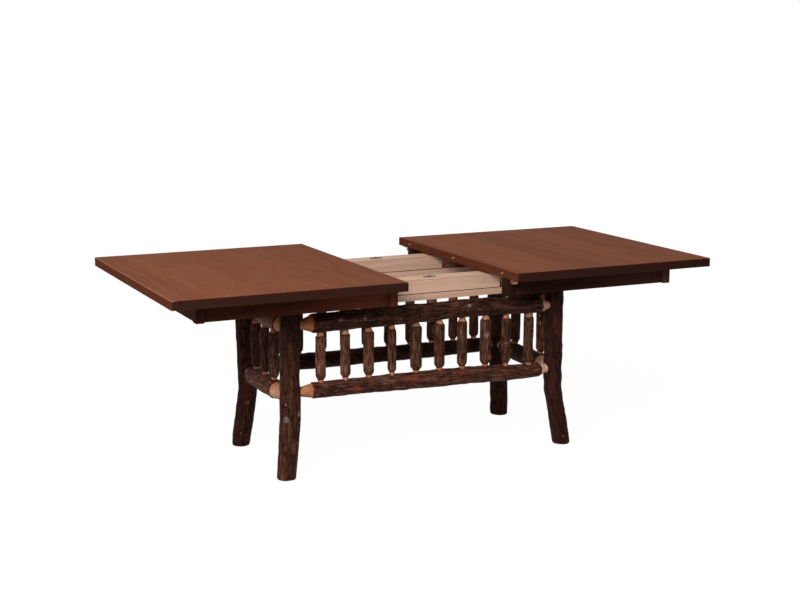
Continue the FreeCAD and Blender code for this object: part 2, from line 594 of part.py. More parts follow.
def make_base_screws(doc):
    """Lag screws of the bearers, screws of the centre members and of the pinion plates."""
    screws = []
    for along in (-1, 1):
        middle = short_line(along, 0)[0]
        for across in (-1, 1):
            screws.append(add_screw(doc, f"lag_{along + 1}{across + 1}", middle, lag_place(along, across),
                                    CENTRE_BOTTOM, "Sizes.lag_length", "Sizes.lag_diameter",
                                    "(Sizes.lag_diameter * 2)"))
        for index, pair in enumerate(("Sizes.front_pair_y", "Sizes.back_pair_y")):
            top = f"({SLIDE_TOP} - Sizes.centre_counterbore)"
            screws.append(add_screw(doc, f"centre_screw_{along + 1}{index}", middle, pair, top,
                                    f"({top} - {CENTRE_BOTTOM} + Sizes.centre_bite)",
                                    "Sizes.screw_diameter", "Sizes.screw_head"))
    for index, pair in enumerate(("Sizes.front_pair_y", "Sizes.back_pair_y")):
        for sign in (-1, 1):
            x = f"({sign} * (Sizes.pinion_plate_length / 2 - Sizes.plate_screw_margin))"
            screws.append(add_plate_screw(doc, f"plate_screw_{index}{sign + 1}", x, pair,
                                          PINION_PLATE_FACE, -1))
    return add_group(doc, "base_screws", screws)


def make_centre_member(doc, name, pair):
    """Fixed slide member on a wide foot, with a dovetail groove in each face and a slot for its pinion."""
    body = new_body(doc, name)
    face = "(Sizes.slide_width / 2)"
    floor = f"({face} - Sizes.tongue_depth)"
    mouth = "(Sizes.tongue_root / 2 + Sizes.running_gap)"
    wide = "(Sizes.tongue_edge / 2 + Sizes.running_gap)"
    foot = f"({INNER_FACE} + Sizes.slide_width)"
    right = [(foot, CENTRE_BOTTOM), (foot, FOOT_TOP), (face, FOOT_TOP), (face, f"{TONGUE_Z} - {mouth}"),
             (floor, f"{TONGUE_Z} - {wide}"), (floor, f"{TONGUE_Z} + {wide}"),
             (face, f"{TONGUE_Z} + {mouth}"), (face, SLIDE_TOP)]
    left = [(f"(0 - {y})", z) for y, z in reversed(right)]
    start = f"({short_line(-1, 0)[0]} - Sizes.centre_overhang)"
    end = f"({short_line(1, 0)[0]} + Sizes.centre_overhang)"
    sketch = add_sketch(body, f"{name}_section", "YZ_Plane", pair, "0", start)
    add_outline(sketch, right + left)
    add_pad(body, sketch, f"{end} - {start}")
    reach = f"({PINION_REACH} + Sizes.rack_inset)"
    across = "(Sizes.slide_width / 2 + Sizes.overrun)"
    cut_block(body, f"{name}_slot", (f"(0 - {reach})", reach),
              (f"({pair} - {across})", f"({pair} + {across})"),
              (f"({RACK_LOW} - Sizes.running_gap)", f"({RACK_TOP} + Sizes.running_gap)"))
    low = f"{SLIDE_TOP} - Sizes.pinion_pin_length"
    cut_bore(body, f"{name}_pin_hole", "XY_Plane", "0", pair, low, "(Sizes.pinion_pin_diameter / 2)",
             "(Sizes.pinion_pin_length + Sizes.overrun)")
    for sign in (-1, 1):
        x = f"({sign} * (Sizes.pinion_plate_length / 2 - Sizes.plate_screw_margin))"
        cut_bore(body, f"{name}_plate_hole_{sign + 1}", "XY_Plane", x, pair,
                 f"{PINION_PLATE_FACE} - Sizes.plate_screw_length",
                 "(Sizes.plate_screw_diameter / 2)", "(Sizes.plate_screw_length)")
    for along in (-1, 1):
        middle = short_line(along, 0)[0]
        cut_bore(body, f"{name}_screw_{along + 1}", "XY_Plane", middle, pair,
                 f"{CENTRE_BOTTOM} - Sizes.overrun", "(Sizes.screw_diameter / 2)",
                 "(Sizes.slide_height + Sizes.overrun * 2)")
        cut_bore(body, f"{name}_counterbore_{along + 1}", "XY_Plane", middle, pair,
                 f"{SLIDE_TOP} - Sizes.centre_counterbore - Sizes.head_height",
                 "(Sizes.screw_head / 2 + Sizes.glue_gap)",
                 "(Sizes.centre_counterbore + Sizes.head_height + Sizes.overrun)")
    return body


def make_pinion_plates(doc):
    """A drilled plate over each pinion, on the centre member."""
    plates = []
    for index, pair in enumerate(("Sizes.front_pair_y", "Sizes.back_pair_y")):
        body = new_body(doc, f"pinion_plate_{index}")
        half, wide = "(Sizes.pinion_plate_length / 2)", "(Sizes.pinion_plate_width / 2)"
        add_block(body, f"pinion_plate_board_{index}", (f"(0 - {half})", half),
                  (f"({pair} - {wide})", f"({pair} + {wide})"),
                  (SLIDE_TOP, PINION_PLATE_FACE))
        for place, x, radius in (("pin", "0", "(Sizes.pinion_pin_diameter / 2)"),
                                 ("left", f"(Sizes.plate_screw_margin - {half})",
                                  "(Sizes.plate_screw_diameter / 2)"),
                                 ("right", f"({half} - Sizes.plate_screw_margin)",
                                  "(Sizes.plate_screw_diameter / 2)")):
            cut_bore(body, f"plate_{place}_hole_{index}", "XY_Plane", x, pair,
                     f"{SLIDE_TOP} - Sizes.overrun", radius,
                     "(Sizes.pinion_plate_thickness + Sizes.overrun * 2)")
            if place != "pin":
                cut_bore(body, f"plate_{place}_seat_{index}", "XY_Plane", x, pair,
                         f"{PINION_PLATE_FACE} - Sizes.plate_head_height",
                         "Sizes.plate_screw_diameter", "(Sizes.plate_head_height + Sizes.overrun)")
        plates.append(body)
    return add_group(doc, "pinion_plates", plates)


def make_pinion_pins(doc):
    """The headed pins that the pinions turn on."""
    pins = []
    for index, pair in enumerate(("Sizes.front_pair_y", "Sizes.back_pair_y")):
        body = new_body(doc, f"pinion_pin_{index}")
        shank, rim = "(Sizes.pinion_pin_diameter / 2)", "(Sizes.pinion_pin_diameter * 0.8)"
        face = PINION_PLATE_FACE
        low = f"({SLIDE_TOP} - Sizes.pinion_pin_length)"
        cap = f"({face} + Sizes.pin_head)"
        add_turning(body, f"pinion_pin_outline_{index}", "XZ_Plane", "0", "0", f"-({pair})",
                    [("0", low), (shank, low), (shank, face), (rim, face), (rim, cap), ("0", cap)])
        pins.append(body)
    return add_group(doc, "pinion_pins", pins)


def tooth_flank(sheet):
    """Points of one pinion flank as (radius, half angle of the tooth), root first."""
    module = value_of(sheet, MODULE)
    pitch = module * TOOTH_COUNT / 2
    angle = math.radians(PRESSURE_ANGLE)
    base = pitch * math.cos(angle)
    root = pitch - module * DEDENDUM_SHARE
    tip = pitch + module * ADDENDUM_SHARE
    involute = math.tan(angle) - angle
    half_tooth = math.pi / (2 * TOOTH_COUNT) - value_of(sheet, "Sizes.tooth_backlash") / (4 * pitch)
    flank = [(root, half_tooth + involute)]
    for step in range(FLANK_STEPS + 1):
        radius = base + (tip - base) * step / FLANK_STEPS
        turn = math.acos(base / radius)
        flank.append((radius, half_tooth + involute - (math.tan(turn) - turn)))
    return flank


def make_pinion(doc, sheet, name, pair):
    """A small spur pinion between the two racks of a slide pair."""
    points = []
    flank = tooth_flank(sheet)
    for tooth in range(TOOTH_COUNT):
        middle = 2 * math.pi * (tooth + 0.5) / TOOTH_COUNT
        for radius, half in flank:
            points.append((radius, middle - half))
        for radius, half in reversed(flank):
            points.append((radius, middle + half))
    low = value_of(sheet, RACK_LOW)
    thickness = value_of(sheet, f"Sizes.rack_thickness * {PINION_SHARE}")
    corners = [FreeCAD.Vector(r * math.cos(a), r * math.sin(a)) for r, a in points]
    disc = Part.Face(Part.makePolygon(corners + corners[:1])).extrude(FreeCAD.Vector(0, 0, thickness))
    bore = value_of(sheet, "Sizes.pinion_pin_diameter / 2 + Sizes.pin_running_gap")
    pinion = doc.addObject("Part::Feature", name)
    pinion.Label = name
    pinion.Shape = disc.cut(Part.makeCylinder(bore, thickness))
    rest = value_of(sheet, f"Sizes.rack_thickness * (1 - {PINION_SHARE}) / 2")
    pinion.Placement.Base = FreeCAD.Vector(0, value_of(sheet, pair), low + rest)
    return pinion


def rack_outline(sheet, sign):
    """Points of a rack about its pinion's middle, its teeth towards the pinion."""
    module = value_of(sheet, MODULE)
    pitch = math.pi * module
    axis = value_of(sheet, PITCH_RADIUS)
    tip = axis - module * ADDENDUM_SHARE
    root = axis + module * DEDENDUM_SHARE
    slope = math.tan(math.radians(PRESSURE_ANGLE))
    half = pitch / 4 - value_of(sheet, "Sizes.tooth_backlash") / 4
    reach = value_of(sheet, "Sizes.rack_reach")
    shutting = value_of(sheet, f"{SEAM} - Sizes.seam_gap / 2")
    first = -math.ceil((shutting + reach) / pitch)
    last = math.ceil((value_of(sheet, "Sizes.extra_opening") + reach) / pitch)
    points = [((first - 0.5) * pitch, root)]
    for tooth in range(first, last + 1):
        middle = tooth * pitch
        for lean, depth in ((-1, root), (-1, tip), (1, tip), (1, root)):
            points.append((middle + lean * (half + (depth - axis) * slope), depth))
    points.append(((last + 0.5) * pitch, root))
    back = value_of(sheet, RACK_REACH)
    points.append(((last + 0.5) * pitch, back))
    points.append(((first - 0.5) * pitch, back))
    return [(-sign * x, sign * y) for x, y in points]


def rack_ends(sheet):
    """How far the racks reach past the pinion, towards their own half and away from it."""
    xs = [x for x, y in rack_outline(sheet, -1)]
    return -min(xs), max(xs)


def make_racks(doc, sheet, name, sign):
    """The two toothed racks of one half, front and back."""
    thickness = value_of(sheet, "Sizes.rack_thickness")
    bars = []
    for pair in ("Sizes.front_pair_y", "Sizes.back_pair_y"):
        shift = FreeCAD.Vector(0, value_of(sheet, pair), value_of(sheet, RACK_LOW))
        corners = [FreeCAD.Vector(x, y) + shift for x, y in rack_outline(sheet, sign)]
        face = Part.Face(Part.makePolygon(corners + corners[:1]))
        bars.append(face.extrude(FreeCAD.Vector(0, 0, thickness)))
    racks = doc.addObject("Part::Feature", name)
    racks.Label = name
    racks.Shape = Part.makeCompound(bars)
    return racks


def cleat_places(sign):
    """Middles of the cleats of one half, along the table."""
    near = f"({SEAM})"
    return [side_of(sign, f"({near} + Sizes.outer_reach * {share} + Sizes.cleat_length / 2)")
            for share in CLEAT_SHARES]


def make_moving_member(doc, sheet, name, sign, pair):
    """A sliding member: dovetail tongue, rabbet for the rack, screw holes."""
    body = new_body(doc, name)
    inner, outer = INNER_FACE, f"({INNER_FACE} + Sizes.slide_width)"
    tip = f"({INNER_FACE} - Sizes.tongue_depth)"
    points = [(inner, MEMBER_LOW), (outer, MEMBER_LOW), (outer, SLIDE_TOP), (inner, SLIDE_TOP),
              (inner, f"{TONGUE_Z} + Sizes.tongue_root / 2"), (tip, f"{TONGUE_Z} + Sizes.tongue_edge / 2"),
              (tip, f"{TONGUE_Z} - Sizes.tongue_edge / 2"), (inner, f"{TONGUE_Z} - Sizes.tongue_root / 2")]
    near = f"({SEAM} - Sizes.inner_reach)"
    far = f"({SEAM} + Sizes.outer_reach)"
    low, high = span_of(sign, near, far)
    sketch = add_sketch(body, f"{name}_section", "YZ_Plane", pair, "0", low)
    add_outline(sketch, [(side_of(sign, y), z) for y, z in points])
    add_pad(body, sketch, f"{high} - {low}")
    own, other = rack_ends(sheet)
    start, end = (-own, other) if sign < 0 else (-other, own)
    rabbet = body.newObject("PartDesign::SubtractiveBox", f"{name}_rabbet")
    depth = f"({RACK_REACH} + Sizes.glue_gap - {INNER_FACE} + Sizes.overrun)"
    edge = (f"({pair} - {RACK_REACH} - Sizes.glue_gap)" if sign < 0
            else f"({pair} + {INNER_FACE} - Sizes.overrun)")
    attach(body, rabbet, "XY_Plane", f"{start} - Sizes.glue_gap", edge, RACK_LOW)
    bind(rabbet, {"Length": f"{end - start} + Sizes.glue_gap * 2", "Width": depth,
                  "Height": "Sizes.rack_thickness"})
    middle = f"({pair} + {sign} * {MEMBER_MIDDLE})"
    for index, x in enumerate(cleat_places(sign)):
        cut_bore(body, f"{name}_screw_{index}", "XY_Plane", x, middle,
                 f"{MEMBER_LOW} - Sizes.overrun", "(Sizes.screw_diameter / 2)",
                 "(Sizes.slide_height + Sizes.overrun)")
        cut_bore(body, f"{name}_counterbore_{index}", "XY_Plane", x, middle,
                 f"{MEMBER_LOW} - Sizes.overrun", "(Sizes.screw_head / 2 + Sizes.glue_gap)",
                 "(Sizes.counterbore_depth + Sizes.overrun)")
    return body


def make_cleats(doc, name, sign):
    """Short cleats that carry one half of the top on its members."""
    cleats = []
    for row, pair in enumerate(("Sizes.front_pair_y", "Sizes.back_pair_y")):
        middle = f"({pair} + {sign} * {MEMBER_MIDDLE})"
        half = "(Sizes.slide_width / 2)"
        for index, x in enumerate(cleat_places(sign)):
            body = new_body(doc, f"{name}_{row}{index}")
            add_block(body, f"{name}_board_{row}{index}",
                      (f"({x} - Sizes.cleat_length / 2)", f"({x} + Sizes.cleat_length / 2)"),
                      (f"({middle} - {half})", f"({middle} + {half})"), (SLIDE_TOP, UNDERSIDE))
            cut_bore(body, f"{name}_hole_{row}{index}", "XY_Plane", x, middle,
                     f"{SLIDE_TOP} - Sizes.overrun", "(Sizes.screw_diameter / 2)",
                     f"({UNDERSIDE} - {SLIDE_TOP} + Sizes.overrun * 2)")
            cleats.append(body)
    return add_group(doc, name, cleats)


def make_half_screws(doc, name, sign, setback):
    """The screws of one half: up through members and cleats into the top, and through its plates."""
    screws = make_plate_screws(doc, name, sign, setback)
    low = f"({MEMBER_LOW} + Sizes.counterbore_depth - Sizes.head_height)"
    length = f"({UNDERSIDE} + Sizes.screw_bite - {low})"
    for row, pair in enumerate(("Sizes.front_pair_y", "Sizes.back_pair_y")):
        middle = f"({pair} + {sign} * {MEMBER_MIDDLE})"
        for index, x in enumerate(cleat_places(sign)):
            screws.append(add_flat_screw(doc, f"{name}_{row}{index}", x, middle, low, length))
    return add_group(doc, name, screws)


def add_flat_screw(doc, name, x, y, low, length):
    """A screw with a flat head that pulls up against the end of its counterbore."""
    shank, rim = "(Sizes.screw_diameter / 2)", "(Sizes.screw_head / 2)"
    neck = f"({low} + Sizes.head_height)"
    body = new_body(doc, name)
    add_turning(body, f"{name}_outline", "XZ_Plane", x, "0", f"-({y})",
                [("0", low), (rim, low), (rim, neck), (shank, neck),
                 (shank, f"({low} + {length})"), ("0", f"({low} + {length})")])
    return body


def edges_of(shape, accept):
    """Names of the straight edges whose middle and direction the test accepts."""
    names = []
    for index, edge in enumerate(shape.Edges, start=1):
        middle = edge.CenterOfMass
        direction = edge.tangentAt(edge.FirstParameter)
        if accept(middle, direction):
            names.append(f"Edge{index}")
    return names


def make_top(doc, sheet, name, sign):
    """One half of the top: board, rounded outer corners, eased edges, seam holes, screw holes."""
    body = new_body(doc, name)
    low, high = span_of(sign, f"({SEAM})", OUTER_END)
    half = "(Sizes.top_width / 2)"
    add_block(body, f"{name}_board", (low, high), (f"(0 - {half})", half),
              (UNDERSIDE, "Sizes.table_height"))
    doc.recompute()
    outer = value_of(sheet, OUTER_END)
    near = value_of(sheet, "Sizes.corner_radius")
    board = body.Tip
    corners = body.newObject("PartDesign::Fillet", f"{name}_corners")
    corners.Base = (board, edges_of(board.Shape, lambda p, d: abs(d.z) > 0.5 and
                                    abs(p.x) > outer - near))
    corners.setExpression("Radius", "Sizes.corner_radius")
    doc.recompute()
    face = value_of(sheet, "Sizes.table_height")
    under = value_of(sheet, UNDERSIDE)
    easing = body.newObject("PartDesign::Fillet", f"{name}_easing")
    easing.Base = (corners, edges_of(corners.Shape, lambda p, d: abs(d.z) < 0.5 and
                                     min(abs(p.z - face), abs(p.z - under)) < near / 7))
    easing.setExpression("Radius", "Sizes.top_easing")
    doc.recompute()
    middle = f"({UNDERSIDE} + Sizes.top_thickness / 2)"
    for index, share in enumerate(DOWEL_SHARES):
        reach = (f"Sizes.dowel_proud + {SOCKET_SPARES[index]} * Sizes.seam_gap" if sign < 0
                 else "Sizes.dowel_seat")
        radius = ("(Sizes.dowel_diameter / 2 + Sizes.dowel_play)" if sign < 0
                  else "(Sizes.dowel_seat_diameter / 2)")
        out = (f"(0 - {SEAM}) - ({reach})" if sign < 0 else f"{SEAM} - Sizes.overrun")
        cut_bore(body, f"{name}_dowel_hole_{index}", "YZ_Plane", f"(Sizes.top_width * {share})",
                 middle, out, radius, f"({reach}) + Sizes.overrun")
    for row, pair in enumerate(("Sizes.front_pair_y", "Sizes.back_pair_y")):
        line = f"({pair} + {sign} * {MEMBER_MIDDLE})"
        for index, x in enumerate(cleat_places(sign)):
            cut_bore(body, f"{name}_screw_{row}{index}", "XY_Plane", x, line,
                     f"{UNDERSIDE} - Sizes.overrun", "(Sizes.screw_diameter / 2)",
                     "(Sizes.screw_bite + Sizes.overrun)")
    setback = "Sizes.lock_setback" if sign < 0 else "Sizes.keeper_setback"
    for row in (-1, 1):
        for end in (-1, 1):
            x, y = lock_screw_place(sign, row, end, setback)
            cut_bore(body, f"{name}_lock_{row + 1}{end + 1}", "XY_Plane", x, y,
                     f"{UNDERSIDE} - Sizes.overrun", "(Sizes.plate_screw_diameter / 2)",
                     "(Sizes.plate_screw_length - Sizes.lock_plate_thickness + Sizes.overrun)")
    return body


def make_dowels(doc):
    """The alignment dowels that stand out of the right seam, with a thicker glued end."""
    dowels = []
    middle = f"({UNDERSIDE} + Sizes.top_thickness / 2)"
    radius = "(Sizes.dowel_diameter / 2)"
    for index, share in enumerate(DOWEL_SHARES):
        body = new_body(doc, f"dowel_{index}")
        sketch = add_sketch(body, f"dowel_outline_{index}", "XY_Plane", f"({SEAM})",
                            f"(Sizes.top_width * {share})", middle)
        tip = "(0 - Sizes.dowel_proud)"
        ease = "(Sizes.dowel_diameter / 4)"
        seat = "(Sizes.dowel_seat_diameter / 2)"
        relief = f"({radius} - 2 * Sizes.glue_gap)"
        add_outline(sketch, [(tip, "0"), ("Sizes.dowel_seat", "0"), ("Sizes.dowel_seat", seat),
                             ("Sizes.dowel_neck", seat), ("Sizes.dowel_neck", relief),
                             ("(0 - Sizes.dowel_neck)", relief), ("(0 - Sizes.dowel_neck)", radius),
                             (f"({tip} + {ease})", radius), (tip, f"({radius} - {ease})")])
        turning = body.newObject("PartDesign::Revolution", f"dowel_turning_{index}")
        turning.Profile = sketch
        turning.ReferenceAxis = (sketch, ["H_Axis"])
        dowels.append(body)
    return add_group(doc, "seam_dowels", dowels)


def block_end(sign):
    """Outer face of a half's outer blocks, from the middle of the table."""
    if sign > 0:
        return f"({OUTER_END} - Sizes.end_inset - Sizes.right_end_extra)"
    return f"({OUTER_END} - Sizes.end_inset)"


def make_side_apron(doc, name, sign, row):
    """A side apron board with a stub tenon at each end."""
    body = new_body(doc, name)
    near = f"({SEAM} + Sizes.block_length)"
    far = f"({block_end(sign)} - Sizes.block_length)"
    x_span = span_of(sign, near, far)
    add_block(body, f"{name}_board", x_span, span_of(row, APRON_BACK, APRON_FACE),
              (APRON_LOW, UNDERSIDE))
    x_long = span_of(sign, f"({near} - Sizes.stub_length)", f"({far} + Sizes.stub_length)")
    line = f"(({APRON_BACK} + {APRON_FACE}) / 2)"
    half = "Sizes.stub_thickness / 2"
    add_block(body, f"{name}_stubs", x_long, span_of(row, f"({line} - {half})", f"({line} + {half})"),
              (f"({APRON_LOW} + Sizes.stub_shoulder)", f"({UNDERSIDE} - Sizes.stub_shoulder)"))
    return body


def make_end_apron(doc, name, sign):
    """The end apron board with a stub tenon at each end."""
    body = new_body(doc, name)
    face = f"({block_end(sign)} - Sizes.end_apron_recess)"
    back = f"({face} - Sizes.apron_thickness)"
    add_block(body, f"{name}_board", span_of(sign, back, face), (f"(0 - {APRON_BACK})", APRON_BACK),
              (APRON_LOW, UNDERSIDE))
    line = f"(({face} + {back}) / 2)"
    half = "Sizes.stub_thickness / 2"
    long = f"({APRON_BACK} + Sizes.stub_length)"
    add_block(body, f"{name}_stubs", span_of(sign, f"({line} - {half})", f"({line} + {half})"),
              (f"(0 - {long})", long),
              (f"({APRON_LOW} + Sizes.stub_shoulder)", f"({UNDERSIDE} - Sizes.stub_shoulder)"))
    return body


def make_blocks(doc, name, sign):
    """The blocks at both ends of a half's side aprons, mortised for the stub tenons."""
    blocks = []
    depth = "(Sizes.stub_length + Sizes.glue_gap)"
    low, high = f"({APRON_LOW} + Sizes.stub_shoulder)", f"({UNDERSIDE} - Sizes.stub_shoulder)"
    half = "(Sizes.stub_thickness / 2)"
    line = f"(({APRON_BACK} + {APRON_FACE}) / 2)"
    for row in (-1, 1):
        for end, near in enumerate((f"({SEAM})", f"({block_end(sign)} - Sizes.block_length)")):
            far = f"({near} + Sizes.block_length)"
            body = new_body(doc, f"{name}_{row + 1}{end}")
            add_block(body, f"{body.Name}_board", span_of(sign, near, far),
                      span_of(row, APRON_BACK, BLOCK_FACE), (APRON_LOW, UNDERSIDE))
            mouth = span_of(sign, f"({far} - {depth})", f"({far} + Sizes.overrun)")
            if end == 1:
                mouth = span_of(sign, f"({near} - Sizes.overrun)", f"({near} + {depth})")
            cut_block(body, f"{body.Name}_mortise", mouth,
                      span_of(row, f"({line} - {half})", f"({line} + {half})"), (low, high))
            if end == 1:
                across = f"({block_end(sign)} - Sizes.end_apron_recess - Sizes.apron_thickness / 2)"
                cut_block(body, f"{body.Name}_end_mortise",
                          span_of(sign, f"({across} - {half})", f"({across} + {half})"),
                          span_of(row, f"({APRON_BACK} - Sizes.overrun)", f"({APRON_BACK} + {depth})"),
                          (low, high))
            blocks.append(body)
    return add_group(doc, name, blocks)


def lock_screw_place(sign, row, end, setback):
    """Where a small screw of a lock plate or keeper goes."""
    x = side_of(sign, f"({SEAM} + {setback})")
    y = (f"({row} * {LOCK_Y} + {end} * (Sizes.lock_plate_length / 2"
         f" - Sizes.plate_screw_margin))")
    return x, y


def make_lock_plates(doc, name, sign, setback):
    """Raised plates under the seam corners, each with a stud: pivots on the left, keepers on the right."""
    plates = []
    for row in (-1, 1):
        body = new_body(doc, f"{name}_{row + 1}")
        near = f"({SEAM} + {setback} - Sizes.lock_plate_width / 2 + Sizes.seam_gap)"
        far = f"({SEAM} + {setback} + Sizes.lock_plate_width / 2)"
        long = "Sizes.lock_plate_length / 2"
        add_block(body, f"{body.Name}_board", span_of(sign, near, far),
                  (f"({row} * {LOCK_Y} - {long})", f"({row} * {LOCK_Y} + {long})"), (PLATE_LOW, UNDERSIDE))
        middle = f"({SEAM} + {setback})"
        wide, long = "Sizes.lock_body_width / 2", "Sizes.lock_body_length / 2"
        add_block(body, f"{body.Name}_raised",
                  span_of(sign, f"({middle} - {wide})", f"({middle} + {wide})"),
                  (f"({row} * {LOCK_Y} - {long})", f"({row} * {LOCK_Y} + {long})"), (LOCK_FACE, PLATE_LOW))
        if sign > 0:
            outer = f"({LOCK_Y} - Sizes.lever_width / 2 - Sizes.stop_play)"
            add_block(body, f"{body.Name}_stop",
                      span_of(sign, f"({middle} - {wide})", f"({middle} + {wide})"),
                      span_of(row, f"({outer} - Sizes.stop_length)", outer),
                      (f"({PLATE_LOW} - Sizes.stop_depth)", PLATE_LOW))
        for end in (-1, 1):
            x, y = lock_screw_place(sign, row, end, setback)
            cut_bore(body, f"{body.Name}_hole_{end + 1}", "XY_Plane", x, y,
                     f"{PLATE_LOW} - Sizes.overrun", "(Sizes.plate_screw_diameter / 2)",
                     "(Sizes.lock_plate_thickness + Sizes.overrun * 2)")
            cut_bore(body, f"{body.Name}_seat_{end + 1}", "XY_Plane", x, y,
                     f"{PLATE_LOW} - Sizes.overrun", "Sizes.plate_screw_diameter",
                     "(Sizes.plate_head_height + Sizes.overrun)")
        rim, shank = "(Sizes.stud_head_diameter / 2)", "(Sizes.stud_diameter / 2)"
        bottom = f"({STUD_HEAD_TOP} - Sizes.stud_head_thickness)"
        add_turning(body, f"{body.Name}_stud", "XZ_Plane", side_of(sign, f"({SEAM} + {setback})"), "0",
                    f"(0 - {row} * {LOCK_Y})",
                    [("0", bottom), (rim, bottom), (rim, STUD_HEAD_TOP), (shank, STUD_HEAD_TOP),
                     (shank, f"({LOCK_FACE} + Sizes.lock_plate_thickness)"),
                     ("0", f"({LOCK_FACE} + Sizes.lock_plate_thickness)")])
        plates.append(body)
    return add_group(doc, name, plates)


def make_lever(doc, sheet, name, row):
    """A hooked lock lever, drawn pointing away from its seam."""
    body = new_body(doc, name)
    wide = "(Sizes.lever_width / 2)"
    gap = "(Sizes.stud_diameter / 2 + Sizes.running_gap)"
    slack = f"({LEVER_REACH} - sqrt({LEVER_REACH} ^ 2 - ({wide} + {gap}) ^ 2))"
    inside = f"({LEVER_REACH} - {gap} - {slack})"
    outside = f"({LEVER_REACH} + {gap})"
    tip = f"({outside} + Sizes.lever_lip)"
    heel = f"(0 - {wide})"
    chamfer = "(Sizes.lever_lip * 0.7)"
    shape = [(heel, f"{wide} / 2"), (heel, f"(0 - {wide} / 2)"), (f"({heel} / 2)", f"(0 - {wide})"),
             (f"({tip} - {chamfer})", f"(0 - {wide})"), (tip, f"({chamfer} - {wide})"),
             (tip, f"({wide} - {chamfer})"), (f"({tip} - {chamfer} / 2)", wide),
             (outside, wide), (outside, f"(0 - {gap})"), (inside, f"(0 - {gap})"), (inside, wide),
             (f"({heel} / 2)", wide)]
    pivot_x = f"(0 - {SEAM} - Sizes.lock_setback)"
    # The lever points away from the seam, and its open hook faces the side edge.
    sketch = add_sketch(body, f"{name}_outline", "XY_Plane", pivot_x, f"({row} * {LOCK_Y})",
                        f"({LEVER_TOP} - Sizes.lever_thickness)")
    add_outline(sketch, [(f"(0 - {x})", f"({row} * {y})") for x, y in shape])
    add_pad(body, sketch, "Sizes.lever_thickness")
    cut_bore(body, f"{name}_bore", "XY_Plane", pivot_x, f"({row} * {LOCK_Y})",
             f"{LEVER_TOP} - Sizes.lever_thickness - Sizes.overrun",
             "(Sizes.stud_diameter / 2 + Sizes.pin_running_gap)",
             "(Sizes.lever_thickness + Sizes.overrun * 2)")
    return body


def make_plate_screws(doc, name, sign, setback):
    """Small screws up through a half's lock plates."""
    screws = []
    for row in (-1, 1):
        for end in (-1, 1):
            x, y = lock_screw_place(sign, row, end, setback)
            screws.append(add_plate_screw(doc, f"{name}_plate_{row + 1}{end + 1}", x, y, PLATE_LOW, 1))
    return screws


def make_base(doc, sheet):
    """Everything that stands still: legs, rails, spindles, bearers and centre slide members."""
    parts = [make_leg(doc, name) for name in LEG_SHARES]
    parts += [make_rail(doc, name) for name in RAIL_SHARES]
    for index in range(len(FRONT_SPINDLE_SHARES)):
        parts.append(make_spindle(doc, f"front_spindle_{index + 1:02d}", "front", index))
    for side, shares in (("back", BACK_SPINDLE_SHARES), ("left", LEFT_SPINDLE_SHARES),
                         ("right", RIGHT_SPINDLE_SHARES)):
        row = [make_spindle(doc, f"{side}_spindle_{index + 1}", side, index)
               for index in range(len(shares))]
        parts.append(add_group(doc, f"{side}_spindles", row))
    parts.append(make_bearer(doc, "bearer_left", -1))
    parts.append(make_bearer(doc, "bearer_right", 1))
    parts.append(make_centre_member(doc, "slide_centre_front", "Sizes.front_pair_y"))
    parts.append(make_centre_member(doc, "slide_centre_back", "Sizes.back_pair_y"))
    parts.append(make_pinion_plates(doc))
    parts.append(make_pinion_pins(doc))
    parts.append(make_base_screws(doc))
    parts.append(make_pinion(doc, sheet, "pinion_front", "Sizes.front_pair_y"))
    parts.append(make_pinion(doc, sheet, "pinion_back", "Sizes.back_pair_y"))
    return parts


def make_half(doc, sheet, side, sign):
    """One sliding half: top, aprons, blocks, members, racks, cleats and screws."""
    setback = "Sizes.lock_setback" if sign < 0 else "Sizes.keeper_setback"
    fitting = "lock_plates" if sign < 0 else "lock_keepers"
    return [
        make_top(doc, sheet, f"top_{side}", sign),
        make_side_apron(doc, f"apron_{side}_front", sign, -1),
        make_side_apron(doc, f"apron_{side}_back", sign, 1),
        make_end_apron(doc, f"apron_{side}_end", sign),
        make_blocks(doc, f"apron_blocks_{side}", sign),
        make_moving_member(doc, sheet, f"slide_{side}_front", sign, "Sizes.front_pair_y"),
        make_moving_member(doc, sheet, f"slide_{side}_back", sign, "Sizes.back_pair_y"),
        make_racks(doc, sheet, f"racks_{side}", sign),
        make_cleats(doc, f"cleats_{side}", sign),
        make_lock_plates(doc, fitting, sign, setback),
        make_half_screws(doc, f"screws_{side}", sign, setback),
    ]


def check_document(doc, parts):
    """Stop if any object failed or any sub-part has no sound solid."""
    for item in doc.Objects:
        if {"Invalid", "Error"} & set(item.State):
            raise RuntimeError(f"{item.Label} failed: {item.State}")
    for part in parts:
        if part.Shape.isNull() or not part.Shape.isValid() or not part.Shape.Solids:
            raise RuntimeError(f"{part.Label} has no sound shape")


def main():
    """Build the table and write each sub-part's shape."""
    doc = FreeCAD.newDocument("ExtensionTable")
    sheet = fill_sheet(doc)
    parts = make_base(doc, sheet)
    parts += make_half(doc, sheet, "left", -1)
    parts += make_half(doc, sheet, "right", 1)
    parts.append(make_dowels(doc))
    parts.append(make_lever(doc, sheet, "lock_lever_front", -1))
    parts.append(make_lever(doc, sheet, "lock_lever_back", 1))
    doc.recompute()
    check_document(doc, parts)
    os.makedirs("parts", exist_ok=True)
    for part in parts:
        part.Shape.exportStep(os.path.join("parts", f"{part.Label}.step"))
        print(part.Label, len(part.Shape.Solids), round(part.Shape.Volume))


main()
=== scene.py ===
import json
import logging
import math
from dataclasses import dataclass, field
from enum import Enum

import bpy
import numpy as np
from mathutils import Matrix, Vector

